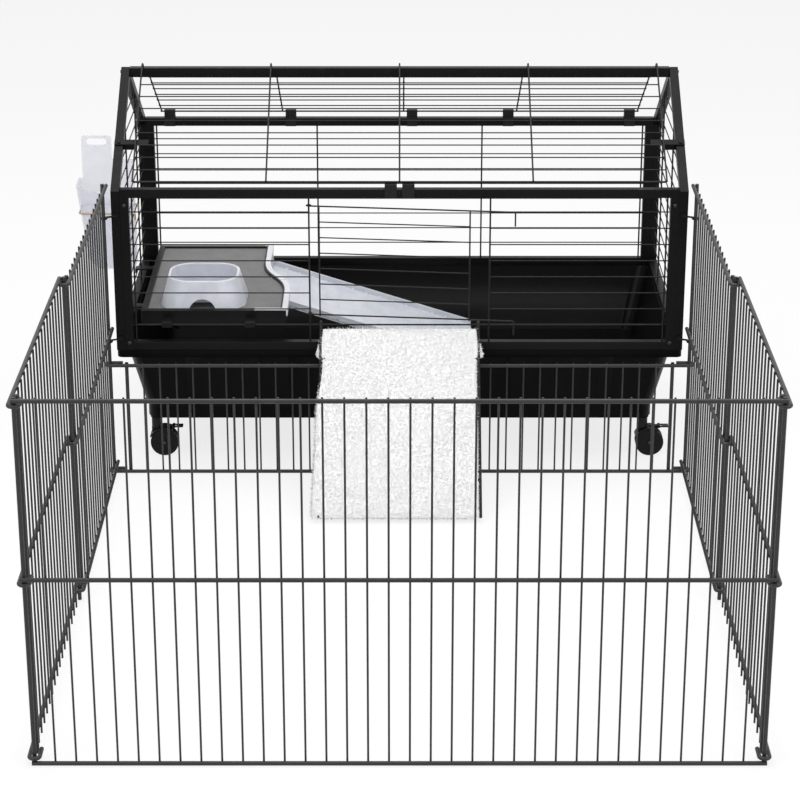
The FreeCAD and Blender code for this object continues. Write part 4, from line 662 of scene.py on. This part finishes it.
for x in (-RAMP_X, RAMP_X):
    shift = Vector((x, 0.0, 0.0))
    hook = round_bend(sill + shift, ramp_top + shift, (1, 0, 0), RAMP_HOOK_TURN, 18)[::-1]
    runs.append((hook + [tuple(ramp_top + down_ramp * ramp_run + shift)], RAMP_ROD))
COVER_START, COVER_END, COVER_HEM = 13.0, 14.0, 14.0
for i in range(RAMP_RUNGS):
    spot = ramp_top + down_ramp * (COVER_START + (ramp_run - COVER_START - COVER_END) * (i + 0.5) / RAMP_RUNGS)
    runs.append(([(-RAMP_X, spot.y, spot.z), (RAMP_X, spot.y, spot.z)], RAMP_ROD))
wire_piece("ramp_rods", runs, [], "ramp", wire_coat, "ramp_frame", sides=16)

plush, shader, place = new_finish("White plush")
nap = grain(place, 60.0, 5.0, 0.65)
curl = grain(place, 900.0, 3.0)
feed(shader, "Base Color", (nap * 0.6 + curl * 0.4).mixed((0.93, 0.93, 0.935, 1), (0.98, 0.98, 0.98, 1)))
feed(shader, "Roughness", 0.82 + nap * 0.15)
shader.inputs["Sheen Weight"].default_value = 0.3
shader.inputs["Sheen Roughness"].default_value = 0.5
bump(shader, curl, 0.25, 0.0008)
COVER_HALF, COVER_THICK, COVER_EDGE, COVER_CROWN = 159.0, 13.0, 5.0, 3.0
ACROSS, ALONG = 48, 60
EAR_FROM, EAR_AT, EAR_TO, EAR_WIDTH, EAR_POWER = 0.02, 0.145, 0.165, 17.0, 6
LAP_FROM, LAP_MIDDLE, LAP_UPPER, LAP_LOWER = 0.18, 0.5, 12.0, 6.0
SIDE_POWER, END_POWER, END_THIN, THINNEST, LUMP = 2.6, 12, 0.25, 0.6, 1.4


def eased_step(low, high, value):
    share = min(1.0, max(0.0, (value - low) / (high - low)))
    return share * share * (3 - 2 * share)


pad = bmesh.new()
layers = []
for face in (1, -1):
    grid = []
    for j in range(ALONG + 1):
        t = j / ALONG
        lap = LAP_UPPER * eased_step(LAP_FROM, LAP_MIDDLE, t) + LAP_LOWER * eased_step(LAP_MIDDLE, 1.0, t)
        ear = EAR_WIDTH * max(0.0, min((t - EAR_FROM) / (EAR_AT - EAR_FROM), (EAR_TO - t) / (EAR_TO - EAR_AT)))
        line = []
        for i in range(ACROSS + 1):
            s = 2 * i / ACROSS - 1
            edge_in = 1 - abs(s) ** SIDE_POWER
            end_in = 1 - abs(2 * t - 1) ** END_POWER
            half = COVER_HALF + (lap if s < 0 else 0.0) + (ear * abs(s) ** EAR_POWER if face < 0 else 0.0)
            swell = COVER_EDGE / 2 + ((COVER_THICK - COVER_EDGE) / 2 + (COVER_CROWN if face > 0 else 0)) * edge_in
            over_rod = lap / 4 * eased_step(-0.8, -1.0, s) if face > 0 else 0.0
            lump = LUMP * noise(Vector((s * 3.1, t * 4.3, face * 2.0)))
            at = COVER_START + (ramp_run - COVER_START - COVER_END + COVER_HEM) * t
            rise = face * max(THINNEST, (swell + over_rod + lump) * (END_THIN + (1 - END_THIN) * end_in))
            centre = ramp_top + down_ramp * at + off_ramp * rise
            line.append(pad.verts.new(cage(s * half, centre.y, centre.z)))
        grid.append(line)
    layers.append(grid)
for face, grid in zip((1, -1), layers):
    for j in range(ALONG):
        for i in range(ACROSS):
            corners = (grid[j][i], grid[j + 1][i], grid[j + 1][i + 1], grid[j][i + 1])
            pad.faces.new(corners if face > 0 else corners[::-1])
top, under_side = layers
border = [(0, i) for i in range(ACROSS)] + [(j, ACROSS) for j in range(ALONG)]
border += [(ALONG, i) for i in range(ACROSS, 0, -1)] + [(j, 0) for j in range(ALONG, 0, -1)]
for (a, b), (c, d) in zip(border, border[1:] + border[:1]):
    pad.faces.new((top[a][b], top[c][d], under_side[c][d], under_side[a][b]))
bmesh.ops.recalc_face_normals(pad, faces=pad.faces)
pad_mesh = bpy.data.meshes.new("plush_base")
pad.to_mesh(pad_mesh)
pad.free()

PILE_DENSITY, PILE_LENGTH, TUFT_FOOT = 160000.0, 0.006, 0.0008
TUFT_LEAN, TUFT_SPIN, TUFT_SHORT, TUFT_TALL = 0.6, 3.0, 0.65, 1.25
pile_tree, given, result = new_tree("Pile", [("Density", "Float"), ("Length", "Float"), ("Finish", "Material")])
scatter = pile_tree.nodes.new("GeometryNodeDistributePointsOnFaces")
scatter.inputs["Seed"].default_value = 11
keep = pile_tree.nodes.new("GeometryNodeStoreNamedAttribute")
keep.data_type = "FLOAT_VECTOR"
keep.inputs["Name"].default_value = "nap"
tuft = pile_tree.nodes.new("GeometryNodeMeshCone")
tuft.inputs["Vertices"].default_value = 3
tuft.inputs["Radius Top"].default_value = 0.0
tuft.inputs["Radius Bottom"].default_value = TUFT_FOOT
lie = pile_tree.nodes.new("FunctionNodeRotateRotation")
lie.rotation_space = "LOCAL"
tip = pile_tree.nodes.new("FunctionNodeRandomValue")
tip.data_type = "FLOAT_VECTOR"
tip.inputs[0].default_value = (-TUFT_LEAN, -TUFT_LEAN, -TUFT_SPIN)
tip.inputs[1].default_value = (TUFT_LEAN, TUFT_LEAN, TUFT_SPIN)
tip.inputs["Seed"].default_value = 5
as_turn = pile_tree.nodes.new("FunctionNodeEulerToRotation")
size = pile_tree.nodes.new("FunctionNodeRandomValue")
size.inputs[2].default_value = TUFT_SHORT
size.inputs[3].default_value = TUFT_TALL
size.inputs["Seed"].default_value = 8
tufts = pile_tree.nodes.new("GeometryNodeInstanceOnPoints")
together = pile_tree.nodes.new("GeometryNodeJoinGeometry")
join(pile_tree, given.outputs["Geometry"], scatter.inputs["Mesh"])
join(pile_tree, given.outputs["Density"], scatter.inputs["Density"])
join(pile_tree, given.outputs["Length"], tuft.inputs["Depth"])
join(pile_tree, tip.outputs[0], as_turn.inputs["Euler"])
join(pile_tree, scatter.outputs["Rotation"], lie.inputs["Rotation"])
join(pile_tree, as_turn.outputs["Rotation"], lie.inputs["Rotate By"])
join(pile_tree, scatter.outputs["Points"], keep.inputs["Geometry"])
join(pile_tree, scatter.outputs["Normal"], keep.inputs["Value"])
join(pile_tree, keep.outputs["Geometry"], tufts.inputs["Points"])
join(pile_tree, tuft.outputs["Mesh"], tufts.inputs["Instance"])
join(pile_tree, lie.outputs["Rotation"], tufts.inputs["Rotation"])
join(pile_tree, size.outputs[1], tufts.inputs["Scale"])
join(pile_tree, tufts.outputs["Instances"], together.inputs["Geometry"])
join(pile_tree, given.outputs["Geometry"], together.inputs["Geometry"])
closed(pile_tree, given, result, together.outputs["Geometry"])
pile = {"Density": PILE_DENSITY, "Length": PILE_LENGTH, "Finish": plush}
cover = tree_piece("plush_cover", pad_mesh, pile_tree, pile, 60.0)
cover.data.shade_smooth()
flat_nap = [0.0] * (3 * len(cover.data.vertices))
cover.data.attributes["nap"].data.foreach_get("vector", flat_nap)
lit = []
for i, own in enumerate(cover.data.vertex_normals):
    nap_way = Vector(flat_nap[3 * i:3 * i + 3])
    lit.append((nap_way * 0.8 + own.vector * 0.2).normalized() if nap_way.length > 0.5 else own.vector.copy())
cover.data.normals_split_custom_set_from_vertices(lit)
finished(cover, "ramp", "ramp_cover")

# Hay feeder: a frosted pouch outside the left gable, held by a tan coated wire bent round it.
# The wire's ends drop behind one row of the grille.
# The feeder's rim value is the depth in mm of the painted highlight under its top edge.
FEEDER_TOP_Z, FEEDER_RIM_HIGHLIGHT, FEEDER_EDGE = 622.0, 3.0, 0.4
hopper_plastic = frosted("Frosted feeder plastic", (0.62, 0.63, 0.74, 1), 0.2, 0.36,
                         UPRIGHT, FEEDER_TOP_Z * MM, FEEDER_RIM_HIGHLIGHT)
eased("hay_hopper", "hay_feeder", hopper_plastic, FEEDER_EDGE)
hanger_coat = powder_coat("Tan hanger coat", (0.36, 0.26, 0.18, 1), (0.52, 0.4, 0.3, 1), 0.34, 0.5)
HANGER_WIRE, HANGER_Z, HANGER_BEND = 2.0, 463.6, 8.3
HANGER_NEAR, HANGER_FAR = 327.7, 400.3
HOOK_X, LOOP_X, HOOK_BEND, HOOK_DROP = -577.4, -699.2, 3.0, 14.0
hook_in, hook_top, loop_in = HOOK_X - HOOK_BEND, HANGER_Z - HOOK_BEND, LOOP_X + HANGER_BEND
near_in, far_in = HANGER_NEAR + HANGER_BEND, HANGER_FAR - HANGER_BEND
places = [(HOOK_X, HANGER_NEAR, HANGER_Z - HOOK_DROP)]
places += round_bend((hook_in, HANGER_NEAR, hook_top), (HOOK_X, HANGER_NEAR, hook_top), (0, 1, 0), -90.0, 6)
places += round_bend((loop_in, near_in, HANGER_Z), (loop_in, HANGER_NEAR, HANGER_Z), (0, 0, 1), -90.0, 8)
places += round_bend((loop_in, far_in, HANGER_Z), (LOOP_X, far_in, HANGER_Z), (0, 0, 1), -90.0, 8)
places += round_bend((hook_in, HANGER_FAR, hook_top), (hook_in, HANGER_FAR, HANGER_Z), (0, 1, 0), 90.0, 6)
places += [(HOOK_X, HANGER_FAR, HANGER_Z - HOOK_DROP)]
wire_piece("hanger_wire", [(places, HANGER_WIRE)], [], "hay_feeder", hanger_coat, "hay_hanger", sides=14)

# Playpen: six panels of round steel rod and wire, welded, coated charcoal and standing on the floor.
# Each side rail ends in a loop round the next panel's post, so that the panels fold; eyes on the cage hold the last.
pen_coat = powder_coat("Charcoal pen coat", (0.014, 0.014, 0.014, 1), (0.034, 0.034, 0.033, 1), 0.36, 0.35)
PEN_X, PEN_PITCH, PEN_TALL, PEN_STEP = 603.75, 34.5, 650.0, 9.0
FRONT_WIRES, SIDE_WIRES, LOW_WIRES = 34, 16, 34
ROD, PEN_WIRE = 3.8, 1.8
PANEL, REAR_Y = 621.0, -18.0
LOOP, SEAT, TAIL_SHARE, MIDDLE_SHARE = 8.4, 7.7, 0.75, 0.52
FRONT_Y = REAR_Y - 2 * PANEL
WIRE_BACK = ROD + PEN_WIRE + WELD_GAP
rail_weld, side_weld = (2.2, 1.2, 2.2), (1.2, 2.2, 2.2)


def levels(step):
    return (ROD + step, PEN_TALL * MIDDLE_SHARE - step, PEN_TALL - ROD - step)


rail_y = FRONT_Y - 2 * ROD - WELD_GAP
runs = [([(x, FRONT_Y, 0.0), (x, FRONT_Y, PEN_TALL)], ROD) for x in (-PEN_X, PEN_X)]
runs += [([(-PEN_X - ROD, rail_y, z), (PEN_X + ROD, rail_y, z)], ROD) for z in levels(0.0)]
columns = [-PEN_X + PEN_PITCH * i for i in range(1, FRONT_WIRES + 1)]
runs += [([(x, rail_y + WIRE_BACK, 0.0), (x, rail_y + WIRE_BACK, PEN_TALL)], PEN_WIRE) for x in columns]
dots = [((x, rail_y + ROD, z), rail_weld) for x in columns for z in levels(0.0)]
wire_piece("pen_front_wires", runs, dots, "pen_front", pen_coat, "pen_front_panel")
for side, name in ((-1, "left"), (1, "right")):
    for panel, rear, out, step in (("far", REAR_Y, -side, 2 * PEN_STEP), ("near", REAR_Y - PANEL, side, PEN_STEP)):
        post_x = side * PEN_X
        tall = PEN_TALL - step
        lean_out = (LOOP - SEAT) / (PANEL + ROD)
        own_y = rear - (SIDE_WIRES + 1) * PEN_PITCH
        own_x = post_x + out * lean_out * (rear + ROD - own_y)
        runs = [([(post_x, rear, 0.0), (post_x, rear, tall)], ROD), ([(own_x, own_y, 0.0), (own_x, own_y, tall)], ROD)]
        dots = []
        loop_y = rear - PANEL
        for z in levels(step):
            loop = round_bend((post_x, loop_y, z), (post_x + out * LOOP, loop_y, z), (0, 0, 1), -180.0 * out, 16)
            tail = (post_x - out * LOOP, loop_y + PEN_PITCH * TAIL_SHARE, z)
            runs.append(([(post_x + out * SEAT, rear + ROD, z)] + loop + [tail], ROD))
        for i in range(1, SIDE_WIRES + 1):
            y = rear - PEN_PITCH * i
            x = post_x + out * (SEAT + lean_out * (rear + ROD - y) - WIRE_BACK)
            runs.append(([(x, y, 0.0), (x, y, tall)], PEN_WIRE))
            dots += [((x + out * PEN_WIRE, y, z), side_weld) for z in levels(step)]
        node = "pen_%s_%s" % (name, panel)
        wire_piece(node + "_wires", runs, dots, node, pen_coat, node)
LOW_TALL = 246.0
low_y = REAR_Y - LOOP
tail_x = PEN_X - PEN_PITCH * TAIL_SHARE
runs, dots = [], []
for z in (ROD, LOW_TALL - ROD):
    left = round_bend((-PEN_X, REAR_Y, z), (-PEN_X, REAR_Y + LOOP, z), (0, 0, 1), 180.0, 16)
    right = round_bend((PEN_X, REAR_Y, z), (PEN_X, REAR_Y - LOOP, z), (0, 0, 1), 180.0, 16)
    runs.append(([(-tail_x, REAR_Y + LOOP, z)] + left + right + [(tail_x, REAR_Y + LOOP, z)], ROD))
for i in range(LOW_WIRES):
    x = PEN_PITCH * (i - (LOW_WIRES - 1) / 2)
    radius = ROD if i in (0, LOW_WIRES - 1) else PEN_WIRE
    y = low_y + ROD + radius + WELD_GAP
    runs.append(([(x, y, 0.0), (x, y, LOW_TALL)], radius))
    dots += [((x, low_y + ROD, z), rail_weld) for z in (ROD, LOW_TALL - ROD)]
wire_piece("pen_low_wires", runs, dots, "cage", pen_coat, "pen_low_panel")
EYE_WIRE, EYE_RING, EYE_TURN, EYE_X = 2.0, 6.2, 270.0, 581.0
EYE_HEIGHTS, EYE_PLATE, EYE_PLATE_EDGE = (292.46, 559.1), 3.0, 0.8
plate_size = Matrix.Diagonal((4 * EYE_PLATE * MM, EYE_PLATE * MM, 4 * EYE_PLATE * MM, 1))
runs, plates = [], bmesh.new()
for side in (-1, 1):
    for z in EYE_HEIGHTS:
        root = Vector((side * EYE_X, -EYE_PLATE, z))
        post = Vector((side * PEN_X, REAR_Y, z))
        way = post - root
        aim = Matrix.Rotation(side * math.asin(EYE_RING / way.length), 3, "Z") @ way.normalized()
        touch = root + aim * math.sqrt(way.length ** 2 - EYE_RING ** 2)
        start = tuple(root + Vector((0, EYE_PLATE / 2, 0)))
        runs.append(([start] + round_bend(post, touch, (0, 0, 1), -side * EYE_TURN, 18), EYE_WIRE))
        flat = Matrix.Translation(cage(root.x, -EYE_PLATE / 2, z)) @ plate_size
        bmesh.ops.create_cube(plates, size=1.0, matrix=flat)
bmesh.ops.bevel(plates, geom=plates.edges[:], offset=EYE_PLATE_EDGE * MM, segments=2, profile=0.5, affect="EDGES")
eyes = wire_piece("pen_eye_wires", runs, [], "cage", tube_coat, "pen_eyes", sides=14)
plates.from_mesh(eyes.data)
plates.to_mesh(eyes.data)
plates.free()
smooth(eyes.data, 40.0)

# Studio: a pale floor that runs out of view and a white surround that only the eye and mirrors see as white.
# Three large soft lamps light the cage from above and from both sides; the camera stands in front of the pen.
FLOOR_HALF, FLOOR_Z, FLOOR_WHITE, SKY_LEVEL = 30, -0.0005, 0.8, 0.45


def seen_ray(start):
    """One for a ray from the camera, off a gloss or through clear plastic, and nought for all others."""
    path = start.node("ShaderNodeLightPath")
    others = [Finish(start.tree, path.socket.node.outputs[ray]) for ray in ("Is Glossy Ray", "Is Transmission Ray")]
    return (path + others[0] + others[1]).clipped(0.0, 1.0)


floor_mesh = bpy.data.meshes.new("floor")
floor_corners = ((-1, -1), (1, -1), (1, 1), (-1, 1))
floor_mesh.from_pydata([(x * FLOOR_HALF, y * FLOOR_HALF, FLOOR_Z) for x, y in floor_corners], [], [(0, 1, 2, 3)])
floor = placed("floor", floor_mesh)
pale, shader, place = new_finish("Pale floor")
shader.inputs["Base Color"].default_value = (0.86, 0.86, 0.86, 1)
shader.inputs["Roughness"].default_value = 0.7
glow = place.node("ShaderNodeEmission", None, {0: (1, 1, 1, 1), 1: 1.0})
plain = Finish(pale.node_tree, shader.outputs[0])
blend = place.node("ShaderNodeMixShader", None, {0: seen_ray(place) * FLOOR_WHITE, 1: plain, 2: glow})
join(pale.node_tree, blend.socket, pale.node_tree.nodes["Material Output"].inputs["Surface"])
floor_mesh.materials.append(pale)

world = bpy.data.worlds.new("Studio")
bpy.context.scene.world = world
world.use_nodes = True
back = world.node_tree.nodes["Background"]
bright = SKY_LEVEL + seen_ray(Finish(world.node_tree)) * (1 - SKY_LEVEL)
join(world.node_tree, bright.socket, back.inputs["Strength"])
back.inputs["Color"].default_value = (1, 1, 1, 1)
for name, place, target, size, power in (("top", (0.0, 0.3, 3.6), (0.0, 0.3, 0.0), 3.4, 110.0),
                                         ("left", (-3.2, -3.4, 2.6), (0.0, 0.0, 0.4), 2.0, 76.0),
                                         ("right", (3.4, -2.8, 2.2), (0.0, 0.2, 0.4), 2.0, 62.0)):
    lamp = bpy.data.lights.new(name + "_softbox", "AREA")
    lamp.size = size
    lamp.energy = power
    holder = placed(name + "_softbox", lamp)
    holder.location = place
    holder.rotation_euler = (Vector(target) - Vector(place)).to_track_quat("-Z", "Y").to_euler()

bpy.context.scene.view_settings.view_transform = "Standard"
SENSOR, FOCAL_PIXELS, FRAME_PIXELS, LOOK_DOWN = 36.0, 2496.8, 800.0, 21.258
lens = bpy.data.cameras.new("camera")
lens.sensor_width = SENSOR
lens.lens = SENSOR * FOCAL_PIXELS / FRAME_PIXELS
eye = placed("camera", lens)
eye.location = cage(0.9, -4897.3, 2060.4)
eye.rotation_euler = (math.radians(90.0 - LOOK_DOWN), 0.0, 0.0)
bpy.context.scene.camera = eye
